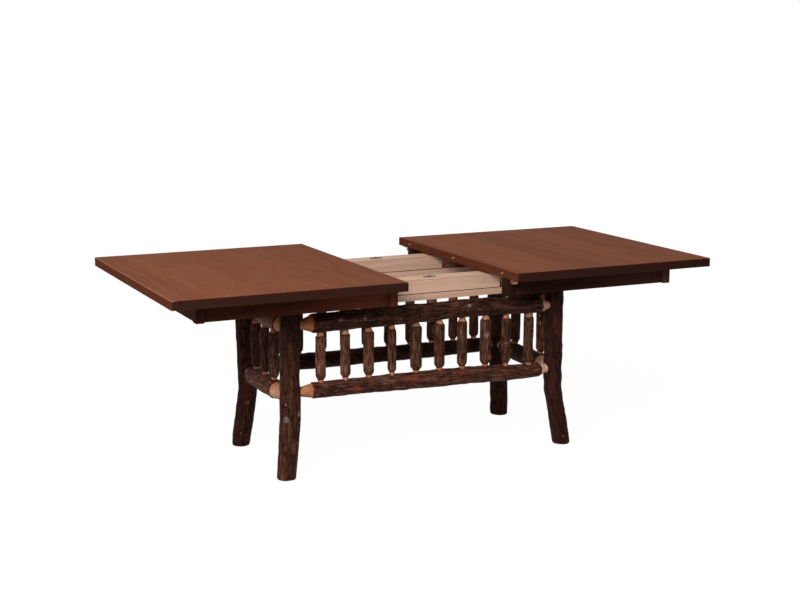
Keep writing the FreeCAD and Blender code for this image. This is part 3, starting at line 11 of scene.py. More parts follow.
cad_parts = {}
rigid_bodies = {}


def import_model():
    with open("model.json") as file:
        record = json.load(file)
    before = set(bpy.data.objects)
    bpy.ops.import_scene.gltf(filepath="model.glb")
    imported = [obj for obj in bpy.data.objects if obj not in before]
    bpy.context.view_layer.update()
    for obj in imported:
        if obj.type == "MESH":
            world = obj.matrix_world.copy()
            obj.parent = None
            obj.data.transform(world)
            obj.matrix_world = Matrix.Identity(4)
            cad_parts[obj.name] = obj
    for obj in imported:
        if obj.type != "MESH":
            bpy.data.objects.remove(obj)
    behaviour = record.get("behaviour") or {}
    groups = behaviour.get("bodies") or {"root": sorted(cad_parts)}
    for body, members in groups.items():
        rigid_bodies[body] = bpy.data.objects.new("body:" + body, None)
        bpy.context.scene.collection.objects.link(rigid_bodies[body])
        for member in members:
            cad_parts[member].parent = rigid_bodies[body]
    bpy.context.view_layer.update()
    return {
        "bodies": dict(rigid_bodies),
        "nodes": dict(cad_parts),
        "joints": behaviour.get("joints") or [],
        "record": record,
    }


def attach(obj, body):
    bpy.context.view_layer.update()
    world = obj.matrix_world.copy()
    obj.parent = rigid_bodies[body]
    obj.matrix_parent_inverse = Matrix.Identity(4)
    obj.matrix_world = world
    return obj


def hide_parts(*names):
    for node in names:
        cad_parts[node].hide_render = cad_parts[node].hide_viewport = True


# The looks of an extension table: stained plank halves on maple slides, over a base of hickory
# logs with the bark on. Sizes in this file are millimetres unless a comment says metres.

LOG = logging.getLogger("hickory_table")
MM = 0.001
Array = np.ndarray
Colour = tuple[float, float, float, float]
Socket = bpy.types.NodeSocket
Material = bpy.types.Material


def srgb(red: int, green: int, blue: int) -> Colour:
    """Linear colour of an sRGB one: ((c + 0.055) / 1.055) ** 2.4 above the dark toe.

    Args:
        red, green, blue: the colour as a screen shows it, 0 to 255.
    Returns:
        The linear colour with alpha 1.
    """
    share = np.array((red, green, blue)) / 255.0
    linear = np.where(share <= 0.04045, share / 12.92, ((share + 0.055) / 1.055) ** 2.4)
    return (*(float(value) for value in linear), 1.0)


class Axis(Enum):
    """The way a log or a board's grain runs."""

    X = 0
    Y = 1
    Z = 2

    @property
    def frame(self) -> tuple[Array, Array, Array]:
        """Two cross directions and the axis, right-handed."""
        unit = np.eye(3)
        return unit[(self.value + 1) % 3], unit[(self.value + 2) % 3], unit[self.value]

    def stretch(self, share: float) -> tuple[float, float, float]:
        """Scale that draws a pattern out along the axis: share along it, 1 across it."""
        return tuple(share if index == self.value else 1.0 for index in range(3))


class Mark(Enum):
    """What a log shows at one place."""

    KNOT = "knot"
    SCUFF = "scuff"
    RED = "red"


@dataclass(frozen=True)
class Spot:
    """A knot, scuff or red patch: place along the log and around it, size and height."""

    kind: Mark
    along: float
    angle: float
    size: float
    height: float = 0.0


class Lattice:
    """Smooth random values in space, on a lattice that repeats every 32 cells."""

    CELLS = 32

    def __init__(self, seed: int) -> None:
        """Draw the lattice's values from a seeded generator."""
        self.values = np.random.default_rng(seed).random((self.CELLS,) * 3).astype(np.float32)

    def at(self, x: Array, y: Array, z: Array) -> Array:
        """n(p) = sum over a cell's 8 corners of value * product of w, w = t^2 (3 - 2 t) or 1 - that.

        Args:
            x, y, z: coordinates in cells, of shapes that broadcast.
        Returns:
            Values from 0 to 1.
        """
        x, y, z = np.broadcast_arrays(x, y, z)
        total = np.zeros(x.shape, dtype=np.float64)
        lows = [np.floor(c).astype(np.int64) for c in (x, y, z)]
        parts = [c - low for c, low in zip((x, y, z), lows)]
        eased = [t * t * (3.0 - 2.0 * t) for t in parts]
        for corner in range(8):
            steps = [(corner >> bit) & 1 for bit in range(3)]
            weight = np.ones(x.shape)
            for ease, step in zip(eased, steps):
                weight = weight * (ease if step else 1.0 - ease)
            spots = [(low + step) % self.CELLS for low, step in zip(lows, steps)]
            total += weight * self.values[spots[0], spots[1], spots[2]]
        return total


NOISE = Lattice(seed=11)


@dataclass
class Shell:
    """A closed surface: points in metres, quads and triangles, and values carried by the points."""

    points: Array
    quads: Array
    tris: Array
    values: dict[str, Array] = field(default_factory=dict)

    @staticmethod
    def tube(grid: Array, caps: tuple[Array, Array], values: dict[str, Array]) -> "Shell":
        """Close a grid of rings with a fan at each end.

        Args:
            grid: (rings, around, 3) points, each ring anticlockwise about the way the rings run.
            caps: the middle points of the first and last fan.
            values: (rings, around) or (rings, around, 3) arrays by name; fans repeat the end ring's mean.
        Returns:
            The closed shell.
        """
        rings, around = grid.shape[:2]
        points = np.concatenate([grid.reshape(-1, 3), np.stack(caps)])
        row = np.arange(rings - 1)[:, None] * around
        here, after = np.arange(around)[None, :], (np.arange(around)[None, :] + 1) % around
        quads = np.stack([row + here, row + after, row + around + after, row + around + here], axis=-1)
        ring, following = np.arange(around), (np.arange(around) + 1) % around
        last, middle = (rings - 1) * around, rings * around
        tris = np.concatenate([
            np.stack([np.full(around, middle), following, ring], axis=-1),
            np.stack([np.full(around, middle + 1), last + ring, last + following], axis=-1),
        ])
        carried = {}
        for name, value in values.items():
            flat = value.reshape(rings * around, -1)
            ends = np.stack([flat[:around].mean(0), flat[-around:].mean(0)])
            carried[name] = np.concatenate([flat, ends])
        return Shell(points, quads.reshape(-1, 4), tris, carried)

    @staticmethod
    def joined(shells: list["Shell"]) -> "Shell":
        """Several shells as one, each set of faces moved up by the points before it.

        Args:
            shells: closed shells that carry the same values.
        Returns:
            One shell.
        """
        starts = np.cumsum([0] + [len(shell.points) for shell in shells[:-1]])
        names = shells[0].values.keys()
        return Shell(
            np.concatenate([shell.points for shell in shells]),
            np.concatenate([shell.quads + start for shell, start in zip(shells, starts)]),
            np.concatenate([shell.tris + start for shell, start in zip(shells, starts)]),
            {name: np.concatenate([shell.values[name] for shell in shells]) for name in names},
        )

    def build(self, name: str, material: Material, smooth: bool = True) -> bpy.types.Object:
        """Make the Blender object.

        Args:
            name: the object's name.
            material: what it is made of.
            smooth: whether its faces are shaded smooth.
        Returns:
            The object, in the scene.
        """
        mesh = bpy.data.meshes.new(name)
        mesh.vertices.add(len(self.points))
        mesh.vertices.foreach_set("co", self.points.astype(np.float32).ravel())
        corners = np.concatenate([self.quads.ravel(), self.tris.ravel()]).astype(np.int32)
        mesh.loops.add(len(corners))
        mesh.loops.foreach_set("vertex_index", corners)
        starts = np.concatenate([np.arange(len(self.quads)) * 4,
                                 self.quads.size + np.arange(len(self.tris)) * 3]).astype(np.int32)
        mesh.polygons.add(len(starts))
        mesh.polygons.foreach_set("loop_start", starts)
        mesh.update(calc_edges=True)
        mesh.polygons.foreach_set("use_smooth", np.full(len(starts), smooth))
        for key, value in self.values.items():
            wide = value.shape[1] == 3
            layer = mesh.attributes.new(key, "FLOAT_VECTOR" if wide else "FLOAT", "POINT")
            layer.data.foreach_set("vector" if wide else "value", value.astype(np.float32).ravel())
        mesh.materials.append(material)
        mesh.validate()
        piece = bpy.data.objects.new(name, mesh)
        bpy.context.scene.collection.objects.link(piece)
        return piece


def settle(piece: bpy.types.Object, body: str, nodes: tuple[str, ...]) -> None:
    """Give a finished piece its body and the nodes that it stands for.

    Args:
        piece: the object.
        body: the body that it moves with.
        nodes: the CAD nodes that it replaces.
    """
    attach(piece, body)
    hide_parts(*nodes)
    LOG.info("%s rides on %s, %d faces", piece.name, body, len(piece.data.polygons))


# ---------------------------------------------------------------------------- node trees


class Tree:
    """Adds and links the nodes of one material or group."""

    def __init__(self, tree: bpy.types.NodeTree) -> None:
        """Work on this node tree."""
        self.tree = tree

    def add(self, kind: str, inputs: dict[str | int, object] | None = None,
            **settings: object) -> bpy.types.Node:
        """Add a node, set its properties, and set or link its inputs.

        Args:
            kind: the node's type name.
            inputs: values or sockets, by input name or number.
            settings: the node's own properties.
        Returns:
            The node.
        """
        node = self.tree.nodes.new(kind)
        for key, value in settings.items():
            setattr(node, key, value)
        for key, value in (inputs or {}).items():
            if isinstance(value, Socket):
                self.tree.links.new(value, node.inputs[key])
            else:
                node.inputs[key].default_value = value
        return node

    def math(self, operation: str, first: object, second: object = 0.0) -> Socket:
        """The result of a Math node."""
        return self.add("ShaderNodeMath", {0: first, 1: second}, operation=operation).outputs[0]

    def plus(self, first: object, second: object) -> Socket:
        """The sum of two values."""
        return self.math("ADD", first, second)

    def times(self, first: object, second: object) -> Socket:
        """The product of two values."""
        return self.math("MULTIPLY", first, second)

    def blend(self, share: object, first: object, second: object, way: str = "MIX") -> Socket:
        """Two colours mixed by a share."""
        return self.add("ShaderNodeMix", {0: share, 6: first, 7: second}, data_type="RGBA",
                        blend_type=way, clamp_factor=True).outputs[2]

    def tinted(self, colour: object, red: object, green: object, blue: object) -> Socket:
        """A colour with each of its channels times a value."""
        shares = self.add("ShaderNodeCombineColor", {0: red, 1: green, 2: blue}).outputs[0]
        return self.blend(1.0, colour, shares, "MULTIPLY")

    def ease(self, value: object, low: float, high: float, to_low: float = 0.0,
             to_high: float = 1.0) -> Socket:
        """Smooth step of a value between two limits, put out between two others."""
        return self.add("ShaderNodeMapRange", {0: value, 1: low, 2: high, 3: to_low, 4: to_high},
                        interpolation_type="SMOOTHSTEP").outputs[0]

    def noise(self, place: object, scale: float, detail: float = 2.0, roughness: float = 0.5,
              distortion: float = 0.0) -> Socket:
        """The value of a Noise Texture."""
        return self.add("ShaderNodeTexNoise", {"Vector": place, "Scale": scale, "Detail": detail,
                                               "Roughness": roughness, "Distortion": distortion}).outputs[0]

    def scaled(self, place: object, scale: object) -> Socket:
        """A vector multiplied by another, coordinate by coordinate."""
        return self.add("ShaderNodeVectorMath", {0: place, 1: scale}, operation="MULTIPLY").outputs[0]

    def attribute(self, name: str, output: str = "Fac") -> Socket:
        """A value that the piece's own points carry."""
        return self.add("ShaderNodeAttribute", attribute_name=name, attribute_type="GEOMETRY").outputs[output]


SOCKETS = {"vector": "NodeSocketVector", "value": "NodeSocketFloat", "colour": "NodeSocketColor"}


class Group:
    """A shader node group with named inputs and outputs, built once."""

    def __init__(self, name: str, inputs: dict[str, str], outputs: dict[str, str]) -> None:
        """Open the group.

        Args:
            name: the group's name.
            inputs: kinds of its inputs by name: vector, value or colour.
            outputs: kinds of its outputs by name.
        """
        self.data = bpy.data.node_groups.new(name, "ShaderNodeTree")
        for way, sockets in (("INPUT", inputs), ("OUTPUT", outputs)):
            for label, kind in sockets.items():
                self.data.interface.new_socket(name=label, in_out=way, socket_type=SOCKETS[kind])
        self.tree = Tree(self.data)
        self.given = self.data.nodes.new("NodeGroupInput").outputs
        self.result = self.data.nodes.new("NodeGroupOutput").inputs

    def put(self, name: str, socket: Socket) -> None:
        """Link a socket to one of the group's outputs."""
        self.data.links.new(socket, self.result[name])

    def place(self, tree: Tree, inputs: dict[str, object]) -> bpy.types.bpy_prop_collection:
        """Use the group in a material and give its outputs."""
        return tree.add("ShaderNodeGroup", inputs, node_tree=self.data).outputs


WHITE: Colour = (1.0, 1.0, 1.0, 1.0)
BLACK: Colour = (0.0, 0.0, 0.0, 1.0)
# Colours that bark and peeled wood take in places, linear.
RED_BARK: Colour = (0.060, 0.016, 0.010, 1.0)
HONEY_WOOD: Colour = (0.70, 0.40, 0.22, 1.0)


@dataclass(frozen=True)
class MarkLook:
    """How a mark shows: its colour, the share of it that is always there, and what flecks add."""

    colour: Colour
    share: float
    flecks: float


MARK_LOOKS = {
    Mark.RED: MarkLook((0.12, 0.020, 0.013, 1.0), 0.12, 0.6),
    Mark.SCUFF: MarkLook((0.30, 0.22, 0.185, 1.0), 0.03, 0.55),
    Mark.KNOT: MarkLook((0.36, 0.135, 0.09, 1.0), 0.25, 0.5),
}

# The bark group's plain inputs, and the value of a log's points that feeds each.
LOG_VALUES = {"Depth": "bark_depth", "Relief": "relief", "Knot": "knot", "Scuff": "scuff", "Red": "red",
              "Tone": "tone", "PeelLight": "peel_painted_light"}


def bark_group() -> Group:
    """Bark and peeled wood: colours by depth from the bark's edge, relief, marks and fibres, and painted
    light and shade by each log's tones.

    Returns:
        The group. Its depth is in millimetres, above 0 where there is bark.
    """
    group = Group(
        "bark_and_peel",
        {"Place": "vector", "Stretch": "vector"} | dict.fromkeys(LOG_VALUES, "value")
        | dict.fromkeys(("Furrow", "Face", "Crest", "Peeled", "Inner"), "colour"),
        {"Colour": "colour", "Roughness": "value", "Height": "value"})
    t, g = group.tree, group.given
    along = t.scaled(g["Place"], g["Stretch"])
    streak = t.noise(along, 235.0, 4.0, 0.65, 0.3)
    fibre = t.noise(along, 520.0, 3.0, 0.7)
    patch = t.noise(g["Place"], 17.0, 3.0)
    fleck = t.noise(t.scaled(g["Place"], (1.0, 1.0, 0.4)), 290.0, 2.0, 0.6)
    # Furrows, faces and crests by the bark's relief, then red and dark patches.
    level = t.plus(t.times(g["Relief"], 0.65), t.plus(t.times(streak, 0.95), t.times(fibre, 0.4)))
    bark = t.blend(t.ease(level, 0.78, 1.22), g["Furrow"], g["Face"])
    crest = t.times(t.ease(level, 1.02, 1.3), t.ease(fleck, 0.45, 0.62))
    bark = t.blend(t.times(crest, 0.55), bark, g["Crest"])
    bark = t.blend(t.times(t.ease(patch, 0.55, 0.7), 0.45), bark, RED_BARK)
    bark = t.blend(t.times(t.ease(patch, 0.46, 0.33), 0.45), bark, g["Furrow"])
    # Marks with torn edges, broken up by flecks.
    wander = t.math("SUBTRACT", streak, 0.5)
    broken = t.ease(t.plus(streak, t.times(fibre, 0.4)), 0.58, 0.82)
    speck = t.ease(t.plus(fleck, t.times(broken, 0.1)), 0.42, 0.58)
    for mark, look in MARK_LOOKS.items():
        mask = g[mark.value.capitalize()]
        share = t.plus(look.share, t.times(broken if mark is Mark.RED else speck, look.flecks))
        torn = t.plus(mask, t.times(wander, 1.1))
        shown = t.times(t.ease(torn, 0.2, 0.7), t.ease(mask, 0.05, 0.3))
        bark = t.blend(t.times(shown, share), bark, look.colour)
    # Painted light and shade: each log's bark is made lighter or darker by its tone, for how light falls on
    # it.
    bark = t.tinted(bark, g["Tone"], g["Tone"], g["Tone"])
    # Peeled wood: grain, honey patches, knife rings, and painted light and highlight, a lighter tone that is
    # also warmer.
    grain = t.noise(along, 240.0, 4.0, 0.6)
    wood = t.blend(t.ease(grain, 0.35, 0.7), g["Peeled"], t.blend(0.5, g["Peeled"], g["Inner"]))
    wood = t.blend(t.times(t.ease(patch, 0.5, 0.66), 0.5), wood, HONEY_WOOD)
    ring = t.ease(t.noise(t.scaled(g["Place"], (0.3, 0.3, 1.0)), 330.0, 2.0, 0.5, 0.6), 0.52, 0.7)
    wood = t.blend(t.times(ring, 0.35), wood, g["Inner"])
    # Painted light and highlight on the peeled wood, by the log's peeled-wood light share.
    wood = t.tinted(wood, t.math("POWER", g["PeelLight"], 0.6), g["PeelLight"], t.math("POWER", g["PeelLight"], 1.4))
    # Inner bark in a ragged ring where the bark stops.
    ragged = t.plus(g["Depth"], t.times(wander, 5.0))
    wood = t.blend(t.ease(ragged, -4.0, 0.0), wood, g["Inner"])
    cut = t.blend(t.ease(fleck, 0.4, 0.7), g["Inner"], g["Furrow"])
    edge = t.blend(t.ease(ragged, 2.5, 6.0), cut, bark)
    group.put("Colour", t.blend(t.ease(g["Depth"], -0.3, 0.5), wood, edge))
    on_bark = t.ease(g["Depth"], -0.5, 1.0)
    group.put("Roughness", t.plus(t.times(fibre, 0.3), t.plus(0.3, t.times(on_bark, 0.06))))
    height = t.plus(t.times(fibre, 0.5), t.times(streak, 0.6))
    group.put("Height", t.times(height, t.ease(g["Depth"], -1.0, 1.0, 0.2, 1.0)))
    return group


def grain_group() -> Group:
    """Sawn wood: figure, fibres and pores drawn out along the grain.

    Returns:
        The group. It reads places in metres.
    """
    group = Group(
        "sawn_grain",
        {"Place": "vector", "Stretch": "vector", "Light": "colour", "Dark": "colour", "Pore": "value",
         "Figure": "value"},
        {"Colour": "colour", "Roughness": "value", "Height": "value"})
    t, g = group.tree, group.given
    along = t.scaled(g["Place"], g["Stretch"])
    figure = t.noise(along, 46.0, 4.0, 0.55, 0.8)
    fibre = t.noise(along, 620.0, 3.0, 0.6)
    pores = t.noise(along, 1500.0, 1.0, 0.5)
    share = t.plus(t.times(t.ease(figure, 0.34, 0.68), g["Figure"]),
                   t.times(t.ease(fibre, 0.3, 0.75), 0.35))
    colour = t.blend(share, g["Light"], g["Dark"])
    pit = t.times(t.ease(pores, 0.6, 0.7), g["Pore"])
    colour = t.blend(pit, colour, t.blend(0.6, g["Dark"], BLACK))
    group.put("Colour", colour)
    group.put("Roughness", t.plus(0.32, t.times(fibre, 0.16)))
    group.put("Height", t.math("SUBTRACT", t.times(fibre, 0.5), pit))
    return group


def plank_group() -> Group:
    """Planks side by side: each one's own tone and shifted grain, and the fine joint between them.

    Returns:
        The group. Its Across and Width are in metres.
    """
    group = Group("glued_planks", {"Place": "vector", "Across": "value", "Width": "value"},
                  {"Place": "vector", "Tone": "value", "Joint": "value"})
    t, g = group.tree, group.given
    count = t.math("DIVIDE", g["Across"], g["Width"])
    index = t.math("FLOOR", count)
    random = t.add("ShaderNodeTexWhiteNoise", {"W": index}, noise_dimensions="1D")
    shift = t.scaled(random.outputs["Color"], (3.0, 5.0, 2.0))
    moved = t.add("ShaderNodeVectorMath", {0: g["Place"], 1: shift}, operation="ADD").outputs[0]
    group.put("Place", moved)
    group.put("Tone", random.outputs["Value"])
    edge = t.math("ABSOLUTE", t.math("SUBTRACT", t.math("FRACT", count), 0.5))
    group.put("Joint", t.ease(edge, 0.494, 0.4985))
    return group


@dataclass(frozen=True)
class Finish:
    """What every finish has: a name, and a Principled shader to feed."""

    name: str

    def start(self) -> tuple[Material, Tree, bpy.types.Node]:
        """Open the material.

        Returns:
            The material, its tree and its Principled shader.
        """
        material = bpy.data.materials.new(self.name)
        material.use_nodes = True
        tree = Tree(material.node_tree)
        return material, tree, material.node_tree.nodes["Principled BSDF"]

    @staticmethod
    def relief(tree: Tree, shader: bpy.types.Node, height: object, strength: float, distance: float) -> None:
        """Feed the shader's Normal from a height through a Bump node.

        Args:
            tree: the material's nodes.
            shader: its Principled shader.
            height: the height, 0 to 1.
            strength: the bump's share.
            distance: what a height of 1 stands for, in metres.
        """
        bump = tree.add("ShaderNodeBump", {"Height": height, "Strength": strength, "Distance": distance})
        tree.tree.links.new(bump.outputs[0], shader.inputs["Normal"])


@dataclass(frozen=True)
class BarkFinish(Finish):
    """Bark under a clear coat, with peeled wood where it stops."""

    furrow: Colour = srgb(25, 13, 9)
    face: Colour = srgb(80, 48, 36)
    crest: Colour = srgb(150, 118, 100)
    peeled: Colour = srgb(204, 140, 103)
    inner: Colour = srgb(112, 50, 30)
    stretch: float = 0.15

    def make(self, bark: Group) -> Material:
        """Build the material from the bark group.

        Args:
            bark: the group of bark and peeled wood.
        Returns:
            The material.
        """
        material, tree, shader = self.start()
        carried = {label: tree.attribute(value) for label, value in LOG_VALUES.items()}
        out = bark.place(tree, carried | {
            "Place": tree.attribute("log_place", "Vector"), "Stretch": (1.0, 1.0, self.stretch),
            "Furrow": self.furrow, "Face": self.face, "Crest": self.crest,
            "Peeled": self.peeled, "Inner": self.inner})
        tree.tree.links.new(out["Colour"], shader.inputs["Base Color"])
        tree.tree.links.new(out["Roughness"], shader.inputs["Roughness"])
        shader.inputs["Specular IOR Level"].default_value = 0.02
        self.relief(tree, shader, out["Height"], 0.9, 0.002)
        return material


# How squarely a face has to face a way: a smooth step of its normal's share.
SQUARE = (0.6, 0.9)
# Distance from the table's middle, in metres, at which the two end faces of the top begin.
END_FACES = (1.128, 1.142)


@dataclass(frozen=True)
class StainFinish(Finish):
    """Dark reddish-brown stain under a satin coat; end grain takes more of the stain.

    planks is the width of a plank in metres, or 0 for one board. seam_face_shade and end_face_shade
    darken the side faces at the seam and at the table's ends: painted shade. painted_shade is (from,
    to, first, last), painted light and shade: between two places along the table, in metres, the
    colour goes from first to last times as light.
    """

    grain: Axis = Axis.Y
    light: Colour = srgb(138, 79, 50)
    dark: Colour = srgb(110, 57, 33)
    end: Colour = srgb(42, 26, 24)
    # Painted highlight: the pale colour of the top's upper end arrises, drawn as bare wood showing through
    # the stain.
    wear_and_sheen: Colour = srgb(196, 142, 116)
    planks: float = 0.0
    plank_tones: tuple[float, float] = (0.9, 1.08)
    roughness: float = 0.06
    seam_face_shade: Colour = WHITE
    end_face_shade: Colour = WHITE
    painted_shade: tuple[float, float, float, float] = (0.0, 1.0, 1.0, 1.0)

    def painted_arris_sheen(self, tree: Tree, facing: bpy.types.bpy_prop_collection, speck: Socket,
               outer: Socket) -> Socket:
        """Share of painted highlight, drawn as pale bare wood, on the upper arris of the table's ends: none
        where a face is flat.

        Args:
            tree: the material's nodes.
            facing: the normal's three shares.
            speck: fine noise that breaks the painted highlight up.
            outer: 1 at the table's ends.
        Returns:
            The share.
        """
        flat = 0.0
        for index in range(3):
            flat = tree.math("MAXIMUM", flat, tree.math("ABSOLUTE", facing[index]))
        share = tree.times(tree.ease(flat, 0.985, 0.88), tree.ease(speck, 0.36, 0.5, 0.3, 0.75))
        upper = tree.ease(facing[2], 0.1, 0.4)
        return tree.times(share, tree.times(outer, upper))

    def make(self, grain: Group, planks: Group) -> Material:
        """Build the material; with a plank width, joints run along the grain.

        Args:
            grain: the group of sawn wood.
            planks: the group of glued planks.
        Returns:
            The material.
        """
        material, tree, shader = self.start()
        place = tree.add("ShaderNodeTexCoord").outputs["Object"]
        along_table = tree.add("ShaderNodeSeparateXYZ", {0: place}).outputs[0]
        boards = None
        if self.planks:
            boards = planks.place(tree, {"Place": place, "Across": along_table, "Width": self.planks})
            place = boards["Place"]
        out = grain.place(tree, {"Place": place, "Stretch": self.grain.stretch(0.07), "Light": self.light,
                                 "Dark": self.dark, "Pore": 0.25, "Figure": 0.4})
        colour = out["Colour"]
        if boards is not None:
            tone = tree.ease(boards["Tone"], 0.0, 1.0, *self.plank_tones)
            colour = tree.tinted(colour, tone, tone, tone)
            colour = tree.blend(tree.times(boards["Joint"], 0.35), colour, self.end)
        normal = tree.add("ShaderNodeNewGeometry").outputs["Normal"]
        facing = tree.add("ShaderNodeSeparateXYZ", {0: normal}).outputs
        ends = tree.ease(tree.math("ABSOLUTE", facing[self.grain.value]), *SQUARE)
        speck = tree.noise(place, 900.0, 3.0, 0.7)
        end_grain = tree.blend(tree.ease(speck, 0.35, 0.75), self.end, tree.blend(0.35, self.end, self.dark))
        colour = tree.blend(ends, colour, end_grain)
        # Painted shade: where tinted, the faces square to the third axis, the top's seam and end faces, are
        # drawn darker.
        sides = tree.ease(tree.math("ABSOLUTE", facing[(self.grain.value + 2) % 3]), *SQUARE)
        outer = tree.ease(tree.math("ABSOLUTE", along_table), *END_FACES)
        colour = tree.blend(sides, colour, tree.blend(outer, self.seam_face_shade, self.end_face_shade), "MULTIPLY")
        # Painted highlight: the upper arris at the table's ends is drawn pale in place of the coat's sheen
        # there.
        colour = tree.blend(self.painted_arris_sheen(tree, facing, speck, outer), colour, self.wear_and_sheen)
        # Painted light and shade: the colour is made lighter or darker along the table, as if light fell
        # unevenly on it.
        low, high, first, last = self.painted_shade
        if first != last:
            painted_shade = tree.ease(along_table, low, high, first, last)
            colour = tree.tinted(colour, painted_shade, painted_shade, painted_shade)
        tree.tree.links.new(colour, shader.inputs["Base Color"])
        tree.tree.links.new(tree.plus(out["Roughness"], self.roughness), shader.inputs["Roughness"])
        shader.inputs["Specular IOR Level"].default_value = 0.004
        self.relief(tree, shader, out["Height"], 0.22, 0.0004)
        return material


@dataclass(frozen=True)
class MapleFinish(Finish):
    """Pale wood under a thin clear coat; lines are (height, reach, share) of dark lines of painted shade, in
    metres.
    """

    grain: Axis = Axis.X
    light: Colour = srgb(226, 187, 163)
    dark: Colour = srgb(202, 157, 128)
    streaks: Colour = srgb(150, 104, 82)
    # Colour of the painted shade lines.
    line: Colour = srgb(120, 76, 56)
    lines: tuple[tuple[float, float, float], ...] = ()

    def make(self, grain: Group) -> Material:
        """Build the material from the grain group.

        Args:
            grain: the group of sawn wood.
        Returns:
            The material.
        """
        material, tree, shader = self.start()
        place = tree.add("ShaderNodeTexCoord").outputs["Object"]
        out = grain.place(tree, {"Place": place, "Stretch": self.grain.stretch(0.06), "Light": self.light,
                                 "Dark": self.dark, "Pore": 0.10, "Figure": 0.6})
        streak = tree.noise(tree.scaled(place, self.grain.stretch(0.05)), 90.0, 2.0)
        streaked = tree.times(tree.ease(streak, 0.68, 0.78), 0.35)
        colour = tree.blend(streaked, out["Colour"], self.streaks)
        height = tree.add("ShaderNodeSeparateXYZ", {0: place}).outputs[2]
        # Painted shade: dark lines where shade falls, under the slides' top edge and in the gap at the moving
        # member's lower edge.
        for level, reach, share in self.lines:
            near = tree.math("ABSOLUTE", tree.math("SUBTRACT", height, level))
            colour = tree.blend(tree.ease(near, reach, reach * 0.4, 0.0, share), colour, self.line)
        tree.tree.links.new(colour, shader.inputs["Base Color"])
        tree.tree.links.new(tree.plus(out["Roughness"], 0.08), shader.inputs["Roughness"])
        shader.inputs["Specular IOR Level"].default_value = 0.05
        self.relief(tree, shader, out["Height"], 0.15, 0.0003)
        return material


@dataclass(frozen=True)
class MetalFinish(Finish):
    """Rolled or plated metal with fine marks from handling."""

    clean: Colour = srgb(190, 188, 184)
    wear_and_sheen: Colour = srgb(140, 136, 130)
    shine: float = 0.32

    def make(self) -> Material:
        """Build the material.

        Returns:
            The material.
        """
        material, tree, shader = self.start()
        place = tree.add("ShaderNodeTexCoord").outputs["Object"]
        cloud = tree.noise(place, 180.0, 4.0, 0.6)
        scratch = tree.noise(tree.scaled(place, (1.0, 0.1, 1.0)), 2600.0, 2.0)
        tree.tree.links.new(tree.blend(tree.ease(cloud, 0.42, 0.66), self.clean, self.wear_and_sheen),
                            shader.inputs["Base Color"])
        shader.inputs["Metallic"].default_value = 1.0
        rough = tree.plus(self.shine, tree.times(tree.ease(cloud, 0.4, 0.7), 0.2))
        tree.tree.links.new(tree.plus(rough, tree.times(scratch, 0.08)),
                            shader.inputs["Roughness"])
        self.relief(tree, shader, scratch, 0.1, 0.0002)
        return material


class Wardrobe:
    """All finishes, made once."""

    def __init__(self) -> None:
        """Build the groups, then every material from them."""
        bark, grain, planks = bark_group(), grain_group(), plank_group()
        self.leg = BarkFinish("leg_bark", furrow=srgb(32, 17, 12), face=srgb(82, 49, 37),
                              crest=srgb(120, 86, 70), stretch=0.27).make(bark)
        # The right legs' bark is plainer, and darker as painted shade.
        self.plain_shaded_leg = BarkFinish("plain_shaded_leg_bark", furrow=srgb(36, 19, 15), face=srgb(70, 40, 31),
                                    crest=srgb(104, 72, 60), stretch=0.2).make(bark)
        self.rail = BarkFinish("rail_bark", face=srgb(74, 44, 34), crest=srgb(132, 102, 86)).make(bark)
        self.spindle = BarkFinish("spindle_bark", furrow=srgb(40, 23, 16), face=srgb(104, 68, 51),
                                  crest=srgb(160, 128, 108)).make(bark)
        stained = {
            # The top's seam and end faces are darkened by painted shade.
            "top": StainFinish("stained_top", planks=0.1307, seam_face_shade=(0.64, 0.60, 0.72, 1.0),
                               end_face_shade=(0.61, 0.46, 0.41, 1.0)),
            # The apron and block finishes below carry painted light and shade: ramps along the table, and for
            # the right half darker colours, painted shade under its top.
            "along": StainFinish("stained_apron_painted_light", Axis.X, srgb(84, 44, 30), srgb(56, 28, 19),
                                 srgb(40, 22, 16), painted_shade=(-0.7, -0.32, 0.72, 1.75)),
            "shaded": StainFinish("apron_painted_shade", Axis.X, srgb(58, 34, 27), srgb(38, 21, 17),
                                  srgb(30, 18, 15), painted_shade=(0.45, 0.95, 1.0, 2.3)),
            "across": StainFinish("stained_end_apron", Axis.Y, srgb(86, 45, 30), srgb(58, 28, 19),
                                  srgb(40, 22, 16)),
            "upright": StainFinish("stained_block_painted_shade", Axis.Z, srgb(92, 48, 38), srgb(64, 32, 25),
                                   srgb(40, 22, 16), painted_shade=(-0.9, -0.4, 0.5, 1.15)),
            "dim_upright": StainFinish("block_painted_shade", Axis.Z, srgb(64, 40, 32), srgb(42, 25, 20),
                                       srgb(30, 18, 15), painted_shade=(0.4, 0.9, 0.75, 2.6)),
        }
        made = {place: finish.make(grain, planks) for place, finish in stained.items()}
        self.top, self.along, self.shaded = made["top"], made["along"], made["shaded"]
        self.across, self.upright, self.dim_upright = made["across"], made["upright"], made["dim_upright"]
        # The slides' two dark lines are painted shade: under their top edge and in the gap at the moving
        # member's lower edge.
        self.maple = MapleFinish("slide_maple", lines=((0.7405, 0.0022, 0.35),
                                                       (0.687, 0.0022, 0.9))).make(grain)
        self.bearer = MapleFinish("bearer_maple", grain=Axis.Y).make(grain)
        self.birch = MapleFinish("dowel_birch", light=srgb(164, 120, 92), dark=srgb(132, 90, 66)).make(grain)
        self.steel = MetalFinish("zinc_steel", clean=srgb(126, 117, 104), wear_and_sheen=srgb(50, 43, 37),
                                 shine=0.5).make()
        self.brass = MetalFinish("lock_brass", clean=srgb(184, 134, 98), wear_and_sheen=srgb(102, 66, 48),
                                 shine=0.34).make()


# ---------------------------------------------------------------------------- logs


